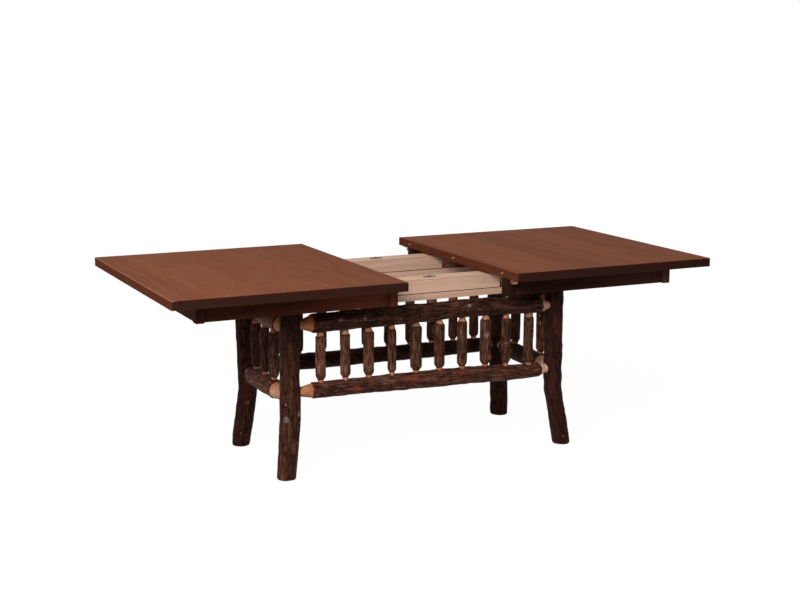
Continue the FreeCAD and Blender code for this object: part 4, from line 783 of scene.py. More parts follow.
def eased(value: Array) -> Array:
    """t^2 (3 - 2 t), with t held between 0 and 1."""
    t = np.clip(value, 0.0, 1.0)
    return t * t * (3.0 - 2.0 * t)


def pattern(place: tuple[Array, Array, Array], across: float, along: float,
            move: tuple[float, float] = (0.0, 0.0)) -> Array:
    """n(u / across + a, v / across + b, w / along), with n the lattice's smooth values.

    Args:
        place: the coordinates u and v across a log and w along it.
        across, along: size of the pattern's cells in millimetres.
        move: a and b, in cells.
    Returns:
        Values from 0 to 1.
    """
    u, v, w = place
    return NOISE.at(u / across + move[0], v / across + move[1], w / along)


@dataclass
class Stick:
    """A log along one axis: a crooked middle line, wood and bark radii, and what marks it.

    Stations are places along the axis, and centres, wood and bark give the middle and both radii
    there. tone and peel_painted_light are pairs, for the log's low end and its high end: painted light
    and shade, how light its bark and its peeled wood are drawn. bark_span is where the bark starts and
    stops, and round_ends is the radius of the rounding at each end. wobble is how far the bark's edge
    wanders, relief scales the bark's depth, and bow is the middle's sweep.
    """

    axis: Axis
    stations: Array
    centres: Array
    wood: Array
    wood_stations: Array
    bark: Array
    bark_stations: Array
    bark_span: tuple[float, float]
    seed: int
    spots: tuple[Spot, ...] = ()
    around: int = 96
    step: float = 2.5
    wobble: float = 3.0
    relief: float = 1.0
    tone: tuple[float, float] = (1.0, 1.0)
    peel_painted_light: tuple[float, float] = (1.0, 1.0)
    bow: tuple[float, float] = (0.0, 0.0)
    round_ends: tuple[float, float] = (0.0, 0.0)
    soften: float = 22.0
    bevel: float = 3.5
    furrow_depth: float = 4.2
    mean_lift: float = 0.62
    lobe_depth: float = 3.4
    facet_depth: float = 0.55
    usual_radius: float = 36.0
    warp: float = 6.0
    nearest: float = 0.35
    edge_zone: float = 7.0

    def rings(self) -> Array:
        """Places of the rings: a step apart, and closer round the bark's edges and the rounded ends.

        Returns:
            Places along the log, low to high, none nearer than nearest to the one before.
        """
        low, high = self.stations[0], self.stations[-1]
        places = [np.linspace(low, high, int((high - low) / self.step) + 2)]
        for edge in self.bark_span:
            places.append(np.linspace(edge - self.edge_zone, edge + self.edge_zone, 15))
        for end, size in zip((low, high), self.round_ends):
            if size:
                turn = np.linspace(0.0, math.pi / 2, 7)
                places.append(end + (1 if end == low else -1) * size * (1.0 - np.cos(turn)))
        merged = np.unique(np.round(np.concatenate(places), 2))
        merged = merged[(merged >= low) & (merged <= high)]
        keep = np.concatenate([[True], np.diff(merged) > self.nearest])
        keep[-1] = True
        return merged[keep]

    def smooth(self, s: Array, stations: Array, values: Array) -> Array:
        """Linear between stations, then a mean over a window that rounds the kinks.

        Args:
            s: places along the log.
            stations: where the values are given.
            values: the values there.
        Returns:
            The values at s: sum of w(d) v(s + d) over the sum of w, w = 1 + cos(pi d / reach).
        """
        if self.soften <= 0.0:
            return np.interp(s, stations, values)
        shifts = np.linspace(-self.soften, self.soften, 9)
        weight = 1.0 + np.cos(np.pi * shifts / (self.soften * 1.12))
        total = sum(w * np.interp(s + shift, stations, values) for w, shift in zip(weight, shifts))
        return total / weight.sum()

    def shell(self) -> Shell:
        """Sweep the log: p(s, a) = c(s) + r(s, a) (cos a e1 + sin a e2).

        r mixes the peeled wood's radius and the bark's at an edge that wanders round the log; the
        bark's radius adds lobes, furrows, flakes and knots, and the wood's adds knife facets. A mark
        of size k raises the bark at distance d by h (e(d / k) - 0.55 e(2.6 d / k)), a swelling with
        a dimple, where e(q) = exp(-q^2 / 2), and d counts less along the log than round it.

        Returns:
            The closed shell with the values that the bark finish reads.
        """
        first, second, _ = self.axis.frame
        s = self.rings()
        angle = np.arange(self.around) * (2.0 * math.pi / self.around)
        grid_s, grid_a = np.meshgrid(s, angle, indexing="ij")
        girth = float(np.mean(self.bark))
        offset = np.random.default_rng(self.seed).uniform(0.0, 900.0, 3)
        u = girth * np.cos(grid_a) + offset[0]
        v = girth * np.sin(grid_a) + offset[1]
        w = grid_s + offset[2]
        place = (u, v, w)
        warp = self.warp * (pattern(place, 34.0, 80.0) - 0.5)
        bent = (u + warp, v - warp, w)
        lobes = pattern(place, 52.0, 150.0) - 0.5
        lumps = pattern(place, 17.0, 40.0, (5.0, 0.0)) - 0.5
        ridged = np.abs(2.0 * pattern(bent, 7.5, 62.0) - 1.0) ** 0.55
        flakes = pattern(bent, 3.6, 21.0, (0.0, 9.0))
        crumbs = pattern(place, 2.6, 6.0, (3.0, 0.0))
        lift = 0.5 * ridged + 0.35 * flakes + 0.15 * crumbs
        bark_r = self.smooth(s, self.bark_stations, self.bark)[:, None]
        lobe = self.lobe_depth * (girth / self.usual_radius)
        height = self.relief * (self.furrow_depth * (lift - self.mean_lift) + lobe * lobes + lobe * lumps)
        values = {mark.value: np.zeros_like(grid_s) for mark in Mark}
        for spot in self.spots:
            turn = (grid_a - spot.angle + math.pi) % (2.0 * math.pi) - math.pi
            long = 2.6 if spot.kind is Mark.RED else 1.15
            d = np.hypot((grid_s - spot.along) / long, girth * turn)
            bump = np.exp(-0.5 * (d / spot.size) ** 2) - 0.55 * np.exp(-0.5 * (d * 2.6 / spot.size) ** 2)
            height = height + spot.height * bump
            mask = np.exp(-0.5 * (d * (1.8 if spot.kind is Mark.KNOT else 1.0) / spot.size) ** 2)
            values[spot.kind.value] = np.maximum(values[spot.kind.value], mask)
        low, high = self.bark_span
        ragged = self.wobble * 2.0 * (pattern(place, 9.0, 60.0, (0.0, 4.0)) - 0.5)
        depth = np.minimum(grid_s - low, high - grid_s) + ragged
        wood_r = np.interp(s, self.wood_stations, self.wood)[:, None]
        facets = self.facet_depth * np.abs(np.sin(4.5 * grid_a + self.seed + 0.02 * grid_s))
        wood_r = wood_r - facets + 0.5 * (pattern(place, 5.0, 30.0) - 0.5)
        share = eased(depth / 2.0)
        bevel = self.bevel * (1.0 - np.sqrt(np.clip(depth / (self.bevel * 1.6), 0.0, 1.0)))
        radius = wood_r * (1.0 - share) + (bark_r + height - bevel) * share
        for end, span in zip((s[0], s[-1]), self.round_ends):
            if span:
                near = np.clip(1.0 - np.abs(grid_s - end) / span, 0.0, 1.0)
                radius = radius - span * (1.0 - np.sqrt(1.0 - near ** 2))
        middle = np.stack([self.smooth(s, self.stations, line) for line in self.centres.T], axis=-1)
        middle[:, self.axis.value] = s
        swell = np.sin(np.pi * (s - s[0]) / (s[-1] - s[0]))
        middle = middle + swell[:, None] * (self.bow[0] * first + self.bow[1] * second)
        points = (middle[:, None, :] + radius[..., None] *
                  (np.cos(grid_a)[..., None] * first + np.sin(grid_a)[..., None] * second))
        local = np.stack([radius * np.cos(grid_a) + offset[0], radius * np.sin(grid_a) + offset[1],
                          w], axis=-1)
        values |= {"relief": lift, "bark_depth": np.clip(depth, -30.0, 30.0), "log_place": local * MM,
                   "tone": np.interp(grid_s, (s[0], s[-1]), self.tone),
                   "peel_painted_light": np.interp(grid_s, (s[0], s[-1]), self.peel_painted_light)}
        return Shell.tube(points * MM, (middle[0] * MM, middle[-1] * MM), values)


# Facing the camera of the photograph, as an angle about an upright log.
FRONT = math.radians(-116.0)

# Heights at which a leg's girth and lean are given; the two in the middle of the rails by number.
LEVELS = np.array((0.0, 8.0, 126.54, 239.76, 333.0, 469.0, 605.0, 658.0))
LOWER_LEVEL, UPPER_LEVEL = 4, 6


@dataclass(frozen=True)
class LegShape:
    """A leg's side along the table and across it, then its girths and leans, as shares of its size."""

    along: int
    across: int
    girths: tuple[float, ...]
    leans: tuple[float, ...]


@dataclass(frozen=True)
class RailShape:
    """A rail's two legs and level, the rise and peel of its ends, then girths and rises at its spindles."""

    legs: tuple[str, str]
    level: int
    ends: tuple[float, float]
    peels: tuple[float, float]
    girths: tuple[float, ...]
    rises: tuple[float, ...]


@dataclass(frozen=True)
class SpindleRow:
    """One side's spindles: places as shares of the side, girths, painted light of each, first seed, marks and
    bows.
    """

    shares: tuple[float, ...]
    girths: tuple[float, ...]
    painted_lights: tuple[float, ...]
    seed: int
    spots: dict[int, tuple[Spot, ...]] = field(default_factory=dict)
    bows: dict[int, tuple[float, float]] = field(default_factory=dict)


@dataclass(frozen=True)
class RailEnd:
    """One end of a rail: three places along it, from the tenon's end to the bark's edge, then its line.

    stop, neck and edge lie along the rail; across and up are where its middle is at the leg,
    edge_across and edge_up where the bark starts, and radius is the rail's there.
    """

    stop: float
    neck: float
    edge: float
    across: float
    edge_across: float
    up: float
    edge_up: float
    radius: float


FRONT_LEGS, BACK_LEGS = ("leg_front_left", "leg_front_right"), ("leg_back_left", "leg_back_right")
LEFT_LEGS, RIGHT_LEGS = ("leg_front_left", "leg_back_left"), ("leg_front_right", "leg_back_right")


@dataclass
class LogBase:
    """The base: four legs, eight rails and twenty-six spindles, all logs.

    shift, setback and skew are how far the base stands to the side, nearer the front and askew;
    spacing and depth are between the legs' middle lines; leg, rail and spindle are diameters.
    low_cone and high_cone are where a spindle's peeled cones begin and end, from the rails, and
    cone_girths their shares of its radius. first_bark is where its bark begins, and its share there.
    """

    shift: float = -22.0
    setback: float = -15.0
    skew: float = 19.0
    spacing: float = 1170.0
    depth: float = 519.0
    leg: float = 77.0
    rail: float = 72.0
    tenon: float = 38.0
    tenon_stop: float = 20.5
    neck: float = 3.0
    cone: float = 0.88
    spindle: float = 42.0
    spindle_tenon: float = 22.0
    spindle_reach: float = 14.0
    upper: float = 605.0
    lower: float = 333.0
    peel: float = 50.0
    side_line: float = 0.04
    low_cone: tuple[float, float] = (8.0, 22.0)
    high_cone: tuple[float, float] = (15.0, 7.0)
    cone_girths: tuple[float, float, float, float] = (0.64, 0.8, 0.8, 0.66)
    first_bark: tuple[float, float] = (10.0, 0.72)
    leg_seed: int = 31
    rail_seed: int = 51

    LEGS = {
        "leg_front_left": LegShape(-1, -1, (0.98, 0.98, 1.02, 1.07, 1.04, 1.01, 1.04, 1.06),
                                   (-0.28, -0.27, -0.125, -0.03, -0.03, -0.02, 0.01, 0.025)),
        "leg_back_left": LegShape(-1, 1, (0.97, 0.97, 1.03, 1.02, 0.98, 1.0, 1.0, 1.0),
                                  (-0.3, -0.3, -0.03, 0.18, 0.115, 0.06, 0.04, 0.03)),
        "leg_front_right": LegShape(1, -1, (0.97, 0.97, 0.97, 0.98, 0.98, 0.98, 0.98, 0.98),
                                    (0.52, 0.5, 0.22, -0.11, -0.135, -0.12, -0.1, -0.1)),
        "leg_back_right": LegShape(1, 1, (1.03,) * 8, (0.43, 0.43, 0.41, 0.31, 0.22, 0.17, 0.13, 0.12)),
    }
    RAILS = {
        "rail_front_upper": RailShape(
            FRONT_LEGS, UPPER_LEVEL, (-0.01, -0.1), (0.85, 0.6),
            (1.04, 1.06, 1.07, 1.06, 1.03, 1.0, 1.02, 1.02, 1.0, 0.95),
            (0.0, 0.01, 0.03, 0.045, 0.06, 0.08, 0.11, 0.105, 0.04, -0.02)),
        "rail_front_lower": RailShape(
            FRONT_LEGS, LOWER_LEVEL, (0.1, -0.03), (0.94, 0.5),
            (0.89, 0.9, 0.92, 0.94, 0.96, 0.97, 0.97, 0.99, 0.94, 0.83),
            (0.11, 0.11, 0.1, 0.09, 0.08, 0.06, 0.03, 0.0, -0.06, -0.1)),
        "rail_back_upper": RailShape(
            BACK_LEGS, UPPER_LEVEL, (0.0, 0.0), (0.8, 0.8),
            (0.95, 0.97, 1.0, 1.0, 0.99, 0.98, 0.97, 0.95, 0.94, 0.93),
            (0.0, 0.01, 0.02, 0.02, 0.03, 0.03, 0.02, 0.01, 0.0, 0.0)),
        "rail_back_lower": RailShape(
            BACK_LEGS, LOWER_LEVEL, (-0.03, -0.06), (0.8, 0.8),
            (0.92, 0.94, 0.96, 0.97, 0.97, 0.96, 0.95, 0.94, 0.92, 0.9),
            (-0.03, -0.03, -0.04, -0.05, -0.06, -0.07, -0.08, -0.08, -0.07, -0.06)),
        "rail_left_upper": RailShape(
            LEFT_LEGS, UPPER_LEVEL, (-0.2, -0.2), (1.2, 1.0), (0.96, 0.98, 0.97), (-0.2,) * 3),
        "rail_left_lower": RailShape(
            LEFT_LEGS, LOWER_LEVEL, (-0.22, -0.22), (2.1, 1.0), (1.02, 1.06, 1.04), (-0.22,) * 3),
        "rail_right_upper": RailShape(
            RIGHT_LEGS, UPPER_LEVEL, (-0.125, -0.125), (1.0, 1.0), (1.0, 1.0, 0.98), (-0.125,) * 3),
        "rail_right_lower": RailShape(
            RIGHT_LEGS, LOWER_LEVEL, (-0.08, -0.08), (1.2, 1.0), (1.07, 1.05, 1.03), (-0.08,) * 3),
    }
    SPINDLES = {
        "front": SpindleRow(
            (-0.393, -0.305, -0.2205, -0.135, -0.0453, 0.0427, 0.1299, 0.2197, 0.3009, 0.3923),
            (0.976, 0.952, 1.048, 0.833, 1.12, 1.0, 1.0, 1.07, 0.905, 1.0),
            (1.8, 1.38, 1.42, 1.18, 1.05, 1.0, 1.1, 1.25, 1.0, 1.2), 100,
            {3: (Spot(Mark.RED, 520.0, FRONT, 9.0),),
             4: (Spot(Mark.RED, 500.0, FRONT + 0.6, 7.0),),
             6: (Spot(Mark.RED, 470.0, FRONT, 11.0),),
             8: (Spot(Mark.KNOT, 403.0, FRONT + 0.95, 8.0, 4.0),
                 Spot(Mark.SCUFF, 500.0, FRONT + 0.2, 8.0, 0.6)),
             9: (Spot(Mark.KNOT, 458.0, FRONT, 6.0, 2.0), Spot(Mark.RED, 420.0, FRONT + 0.5, 8.0)),
             10: (Spot(Mark.KNOT, 462.0, FRONT + 0.9, 6.0), Spot(Mark.KNOT, 485.0, FRONT + 0.9, 6.0),
                  Spot(Mark.KNOT, 508.0, FRONT + 0.9, 6.0))},
            {10: (-2.5, 0.0)}),
        "back": SpindleRow(
            (-0.3829, -0.2949, -0.206, -0.1179, -0.0299, 0.0581, 0.1462, 0.2359, 0.3248, 0.4128),
            (1.0, 0.93, 1.05, 0.95, 1.02, 0.9, 1.0, 1.06, 0.96, 1.0), (0.88,) * 10, 120,
            {8: (Spot(Mark.KNOT, 553.0, FRONT, 26.0), Spot(Mark.KNOT, 540.0, FRONT + 0.6, 16.0)),
             9: (Spot(Mark.KNOT, 553.0, FRONT, 26.0), Spot(Mark.KNOT, 538.0, FRONT - 0.5, 16.0))}),
        "left": SpindleRow((-0.1503, 0.0443, 0.2408), (1.0, 0.95, 1.04), (1.0, 0.9, 0.85), 140),
        "right": SpindleRow(
            (-0.2697, -0.0655, 0.1407), (1.0, 0.95, 1.04), (2.2, 1.0, 0.9), 150,
            {1: (Spot(Mark.RED, 430.0, FRONT, 9.0), Spot(Mark.KNOT, 500.0, FRONT - 0.4, 12.0),
                 Spot(Mark.KNOT, 530.0, FRONT - 0.4, 8.0))}),
    }
    LEG_SPOTS = {
        "leg_front_left": (Spot(Mark.SCUFF, 245.0, FRONT - 0.25, 8.0, 5.0),
                           Spot(Mark.KNOT, 303.0, FRONT - 0.35, 6.0, 2.0),
                           Spot(Mark.SCUFF, 262.0, FRONT + 1.1, 6.0, 6.0),
                           Spot(Mark.KNOT, 430.0, 1.2, 10.0, 3.5)),
        "leg_back_left": (Spot(Mark.KNOT, 189.0, FRONT + 0.25, 9.0, 3.0),
                          Spot(Mark.KNOT, 60.0, FRONT - 0.1, 6.0, 2.0),
                          Spot(Mark.RED, 250.0, FRONT, 16.0), Spot(Mark.KNOT, 380.0, 1.6, 12.0, 4.0)),
        "leg_front_right": (Spot(Mark.SCUFF, 283.0, -0.6, 12.0, 4.0),
                            Spot(Mark.KNOT, 40.0, FRONT + 0.3, 6.0, 2.0),
                            Spot(Mark.KNOT, 300.0, 2.6, 14.0, 4.0), Spot(Mark.RED, 480.0, FRONT + 0.6, 12.0)),
        "leg_back_right": (Spot(Mark.KNOT, 274.0, FRONT - 0.8, 8.0, 3.0),
                           Spot(Mark.KNOT, 328.0, FRONT - 1.45, 10.0, 8.0),
                           Spot(Mark.RED, 200.0, FRONT, 14.0), Spot(Mark.SCUFF, 120.0, 1.0, 12.0, 2.0)),
    }
    RAIL_SPOTS = {
        "rail_front_upper": (Spot(Mark.SCUFF, 142.0, 2.7, 6.0, 2.0), Spot(Mark.SCUFF, -412.0, 2.8, 5.0, 2.5),
                             Spot(Mark.SCUFF, -312.0, 2.9, 5.0, 2.0), Spot(Mark.KNOT, 330.0, 0.3, 12.0, 4.0)),
        "rail_front_lower": (Spot(Mark.RED, -108.0, 2.6, 12.0, 1.0), Spot(Mark.RED, 110.0, 2.6, 7.0, 1.0),
                             Spot(Mark.RED, -346.0, 3.3, 9.0), Spot(Mark.KNOT, -130.0, -1.6, 12.0, 4.0),
                             Spot(Mark.KNOT, 30.0, 0.0, 12.0, 4.0)),
        "rail_back_upper": (Spot(Mark.KNOT, -200.0, 0.2, 12.0, 4.0), Spot(Mark.RED, 160.0, 0.2, 14.0)),
        "rail_back_lower": (Spot(Mark.KNOT, 150.0, 0.1, 12.0, 4.0), Spot(Mark.SCUFF, -330.0, 0.4, 12.0, 2.0)),
        "rail_left_upper": (Spot(Mark.KNOT, -115.0, -1.5, 70.0), Spot(Mark.KNOT, -25.0, -1.7, 60.0)),
        "rail_left_lower": (Spot(Mark.KNOT, 70.0, -1.6, 9.0, 3.0),),
        "rail_right_lower": (Spot(Mark.KNOT, 20.0, -1.2, 10.0, 3.0), Spot(Mark.RED, -90.0, 1.4, 14.0)),
    }
    # Painted light and shade: how light the bark is drawn at a log's low end and its high end, for how light
    # falls on it; the next table says it of peeled wood, where it also paints highlights.
    LOG_PAINTED_LIGHT = {
        "leg_front_left": (1.7, 0.45), "leg_back_left": (0.66, 0.95), "leg_back_right": (0.82, 0.82),
        "leg_front_right": (1.05, 0.85), "rail_front_upper": (1.4, 1.4), "rail_front_lower": (2.2, 2.2),
        "rail_left_lower": (3.0, 3.0), "rail_left_upper": (0.85, 0.85), "rail_back_lower": (0.72, 0.72),
        "rail_back_upper": (0.85, 0.85),
    }
    PEEL_PAINTED_LIGHT = {
        "rail_right_lower": (1.7, 1.0), "rail_right_upper": (1.5, 1.0), "rail_front_upper": (0.62, 1.8),
        "rail_front_lower": (0.72, 2.2), "rail_left_lower": (1.35, 1.2), "rail_back_upper": (0.7, 0.7),
        "rail_back_lower": (0.7, 0.7),
    }

    def leg_place(self, leg: str, level: int) -> tuple[float, float, float]:
        """Middle of a leg at one of its levels, and its radius there.

        Args:
            leg: the leg.
            level: number of the height in LEVELS.
        Returns:
            Its x and y, and the radius.
        """
        shape = self.LEGS[leg]
        x = self.shift + shape.along * self.spacing / 2 + self.leg * shape.leans[level]
        y = self.setback + shape.across * self.depth / 2 - shape.along * self.skew / 2
        return x, y, self.leg / 2 * shape.girths[level]

    def line(self, side: str, share: float) -> tuple[float, float]:
        """A place on one side's line of spindles.

        Args:
            side: front, back, left or right.
            share: place along the side, 0 in its middle, as a share of it.
        Returns:
            The place's x and y.
        """
        if side in ("front", "back"):
            across = -1 if side == "front" else 1
            return (self.shift + self.spacing * share,
                    self.setback + across * self.depth / 2 - self.skew * share)
        along = -1 if side == "left" else 1
        return (self.shift + along * self.spacing / 2 + self.leg * self.side_line,
                self.setback - along * self.skew / 2 + self.depth * share)

    def height(self, rail: str, rise: float) -> float:
        """Height of a rail's middle where it has this rise."""
        return (self.lower if rail.endswith("lower") else self.upper) + self.rail * rise

    def legs(self, rough: Material, plain: Material) -> None:
        """Build the four legs; the right ones have the plainer bark, darker as painted shade.

        Args:
            rough: bark of the left legs.
            plain: bark of the right legs, darker as painted shade.
        """
        for index, name in enumerate(self.LEGS):
            rows = np.array([self.leg_place(name, level) for level in range(len(LEVELS))])
            centres = np.column_stack([rows[:, 0], rows[:, 1], LEVELS])
            stick = Stick(Axis.Z, LEVELS, centres, rows[:, 2], LEVELS, rows[:, 2], LEVELS, (-40.0, 700.0),
                          seed=self.leg_seed + index, spots=self.LEG_SPOTS[name], around=104,
                          step=2.4, relief=1.15, tone=self.LOG_PAINTED_LIGHT[name], round_ends=(8.0, 3.0),
                          soften=26.0)
            material = rough if self.LEGS[name].along < 0 else plain
            settle(stick.shell().build(name + "_log", material), "base", (name,))

    def rail_end(self, name: str, axis: Axis, pick: int) -> RailEnd:
        """Where one end of a rail lies.

        Args:
            name: the rail.
            axis: the way it runs.
            pick: 0 for its left or front end, -1 for the other.
        Returns:
            The end, which lies between the leg and the nearest spindle's place.
        """
        shape = self.RAILS[name]
        inward = 1 if pick == 0 else -1
        line = self.line(name.split("_")[1], self.SPINDLES[name.split("_")[1]].shares[pick])
        x, y, leg_radius = self.leg_place(shape.legs[pick], shape.level)
        along, across = (x, y) if axis is Axis.X else (y, x)
        beside = line[1] if axis is Axis.X else line[0]
        neck = leg_radius + self.neck
        up, far = self.height(name, shape.ends[pick]), self.height(name, shape.rises[pick])
        return RailEnd(
            stop=along + inward * self.tenon_stop, neck=along + inward * neck,
            edge=along + inward * (neck + self.peel * shape.peels[pick]), across=across,
            edge_across=(across + beside) / 2, up=up, edge_up=(up + far) / 2,
            radius=self.rail / 2 * shape.girths[pick])

    def rails(self, material: Material) -> None:
        """Build the eight rails, each peeled to a tenon at both ends.

        Args:
            material: the rails' bark.
        """
        tenon = self.tenon / 2
        for index, (name, shape) in enumerate(self.RAILS.items()):
            side = name.split("_")[1]
            axis = Axis.X if side in ("front", "back") else Axis.Y
            a, b = self.rail_end(name, axis, 0), self.rail_end(name, axis, -1)
            lines = [self.line(side, share) for share in self.SPINDLES[side].shares]
            middles = [((x, y) if axis is Axis.X else (y, x)) + (self.height(name, rise),)
                       for (x, y), rise in zip(lines, shape.rises)]
            track = np.array([
                (a.stop, a.across, a.up), (a.neck, a.across, a.up), (a.edge, a.edge_across, a.edge_up),
                *middles,
                (b.edge, b.edge_across, b.edge_up), (b.neck, b.across, b.up), (b.stop, b.across, b.up)])
            centres = np.zeros((len(track), 3))
            centres[:, axis.value] = track[:, 0]
            centres[:, 1 if axis is Axis.X else 0] = track[:, 1]
            centres[:, 2] = track[:, 2]
            wood_at = np.array([a.stop, a.neck, a.edge, b.edge, b.neck, b.stop])
            wood = np.array([tenon, tenon, a.radius * self.cone, b.radius * self.cone, tenon, tenon])
            bark_at = np.array([a.edge] + [middle[0] for middle in middles] + [b.edge])
            bark = np.array([a.radius] + [self.rail / 2 * girth for girth in shape.girths] + [b.radius])
            stick = Stick(axis, track[:, 0], centres, wood, wood_at, bark, bark_at, (a.edge, b.edge),
                          seed=self.rail_seed + index, spots=self.RAIL_SPOTS.get(name, ()), around=92,
                          step=2.6, relief=1.1, tone=self.LOG_PAINTED_LIGHT.get(name, (1.0, 1.0)),
                          peel_painted_light=self.PEEL_PAINTED_LIGHT.get(name, (1.0, 1.0)), soften=14.0)
            settle(stick.shell().build(name + "_log", material), "base", (name,))

    def one_spindle(self, side: str, index: int) -> Stick:
        """A spindle between its two rails, peeled to a tenon at both ends.

        Args:
            side: front, back, left or right.
            index: its number on that side, from 0.
        Returns:
            The spindle's log.
        """
        row, number = self.SPINDLES[side], index + 1
        x, y = self.line(side, row.shares[index])
        lower, upper = f"rail_{side}_lower", f"rail_{side}_upper"
        below, above = self.RAILS[lower], self.RAILS[upper]
        low = self.height(lower, below.rises[index]) + self.rail / 2 * below.girths[index]
        high = self.height(upper, above.rises[index]) - self.rail / 2 * above.girths[index]
        full, tenon, reach = self.spindle / 2 * row.girths[index], self.spindle_tenon / 2, self.spindle_reach
        (tip, foot), (shoulder, crown), (start, thin) = self.low_cone, self.high_cone, self.first_bark
        stations = np.array([low - reach, high + reach])
        centres = np.array([[x, y, stations[0]], [x, y, stations[1]]])
        wood_at = np.array([low - reach, low, low + tip, low + foot,
                            high - shoulder, high - crown, high, high + reach])
        cones = [full * girth for girth in self.cone_girths]
        wood = np.array([tenon, tenon, *cones, tenon * 0.98, tenon])
        bark_at = np.array([low + tip, low + foot, high - shoulder])
        bark = np.array([full * thin, full, full])
        return Stick(Axis.Z, stations, centres, wood, wood_at, bark, bark_at, (low + start, high - shoulder),
                     seed=row.seed + index, spots=row.spots.get(number, ()), around=60, step=2.3,
                     wobble=2.2, relief=0.8, tone=(row.painted_lights[index],) * 2,
                     bow=row.bows.get(number, (0.0, 0.0)), soften=5.0)

    def spindles(self, material: Material) -> None:
        """Build the spindles: the front ones each by itself, the others by side.

        Args:
            material: the spindles' bark.
        """
        for index in range(len(self.SPINDLES["front"].shares)):
            name = f"front_spindle_{index + 1:02d}"
            shell = self.one_spindle("front", index).shell()
            settle(shell.build(name + "_log", material), "base", (name,))
        for side in ("back", "left", "right"):
            count = len(self.SPINDLES[side].shares)
            shell = Shell.joined([self.one_spindle(side, index).shell() for index in range(count)])
            settle(shell.build(f"{side}_spindle_logs", material), "base",
                   (f"{side}_spindles",))

    def build(self, finishes: Wardrobe) -> None:
        """Build every log of the base.

        Args:
            finishes: all finishes.
        """
        self.legs(finishes.leg, finishes.plain_shaded_leg)
        self.rails(finishes.rail)
        self.spindles(finishes.spindle)


# ---------------------------------------------------------------------------- boards


def board(low: tuple[float, float, float], high: tuple[float, float, float], ease: float,
          steps: int = 4) -> Shell:
    """A board with eased edges, as rounded rectangles carried along its longest side.

    Ring at inset d: p = corner + (ease - d) (cos a, sin a); at the ends d = ease (1 - sin f) and
    the ring stands ease (1 - cos f) from the end, f from 0 to a right angle.

    Args:
        low, high: the board's corners.
        ease: radius of its edges.
        steps: points on each rounded corner.
    Returns:
        The closed shell.
    """
    low_a, high_a = np.array(low), np.array(high)
    axis = Axis(int(np.argmax(high_a - low_a)))
    first, second, third = axis.frame
    middle, half = (low_a + high_a) / 2, (high_a - low_a) / 2
    wide, tall, long = (float(np.dot(half, direction)) for direction in (first, second, third))
    turn = np.linspace(0.0, math.pi / 2, steps)
    angles = np.concatenate([turn + quarter * math.pi / 2 for quarter in range(4)])
    signs = np.repeat(np.array([(1, 1), (-1, 1), (-1, -1), (1, -1)]), steps, axis=0)
    f = np.linspace(0.0, math.pi / 2, steps)
    inset = np.concatenate([ease * (1.0 - np.sin(f)), (ease * (1.0 - np.sin(f)))[::-1]])
    along = np.concatenate([-long + ease * (1.0 - np.cos(f)), (long - ease * (1.0 - np.cos(f)))[::-1]])
    reach = (ease - inset)[:, None]
    across = signs[None, :, 0] * (wide - ease) + reach * np.cos(angles)[None, :]
    up = signs[None, :, 1] * (tall - ease) + reach * np.sin(angles)[None, :]
    grid = (middle + across[..., None] * first + up[..., None] * second
            + along[:, None, None] * third) * MM
    caps = ((middle - long * third) * MM, (middle + long * third) * MM)
    return Shell.tube(grid, caps, {})


@dataclass
class TopHalf:
    """One half of the top with its aprons and corner blocks.

    sign is 1 for the right half and -1 for the left one. seam and end are where the blocks begin
    and end, in distances from the table's middle; face and back are the side aprons' two faces.
    """

    side: str
    sign: int
    end: float
    seam: float = 235.5
    face: float = 425.0
    back: float = 405.0
    block: float = 32.0
    block_face: float = 443.0
    low: float = 679.0
    under: float = 752.0
    ease: float = 1.4
    end_faces: tuple[float, float] = (26.0, 6.0)

    def span(self, near: float, far: float) -> tuple[float, float]:
        """Two distances from the middle on this half's side, low one first."""
        return (near, far) if self.sign > 0 else (-far, -near)

    def piece(self, name: str, boxes: list[tuple], material: Material) -> None:
        """Build boards as one piece in place of the node of that name.

        Args:
            name: the node.
            boxes: low and high corners of each board.
            material: what they are made of.
        """
        shells = [board(low, high, self.ease) for low, high in boxes]
        made = Shell.joined(shells).build(name + "_boards", material)
        settle(made, f"{self.side}_half", (name,))

    def build(self, finishes: Wardrobe) -> None:
        """Build the aprons and blocks.

        Args:
            finishes: all finishes.
        """
        x_low, x_high = self.span(self.seam + self.block, self.end - self.block)
        # The right half's aprons take the finish darkened as painted shade.
        for row, sign in (("front", -1), ("back", 1)):
            y = sorted((sign * self.back, sign * self.face))
            self.piece(f"apron_{self.side}_{row}", [((x_low, y[0], self.low), (x_high, y[1], self.under))],
                       finishes.along if self.sign < 0 else finishes.shaded)
        x = self.span(*(self.end - inset for inset in self.end_faces))
        self.piece(f"apron_{self.side}_end", [((x[0], -self.back, self.low), (x[1], self.back, self.under))],
                   finishes.across)
        blocks = []
        for near in (self.seam, self.end - self.block):
            x = self.span(near, near + self.block)
            for sign in (-1, 1):
                y = sorted((sign * self.back, sign * self.block_face))
                blocks.append(((x[0], y[0], self.low), (x[1], y[1], self.under)))
        # The right half's blocks take the finish darkened as painted shade.
        self.piece(f"apron_blocks_{self.side}", blocks,
                   finishes.upright if self.sign < 0 else finishes.dim_upright)


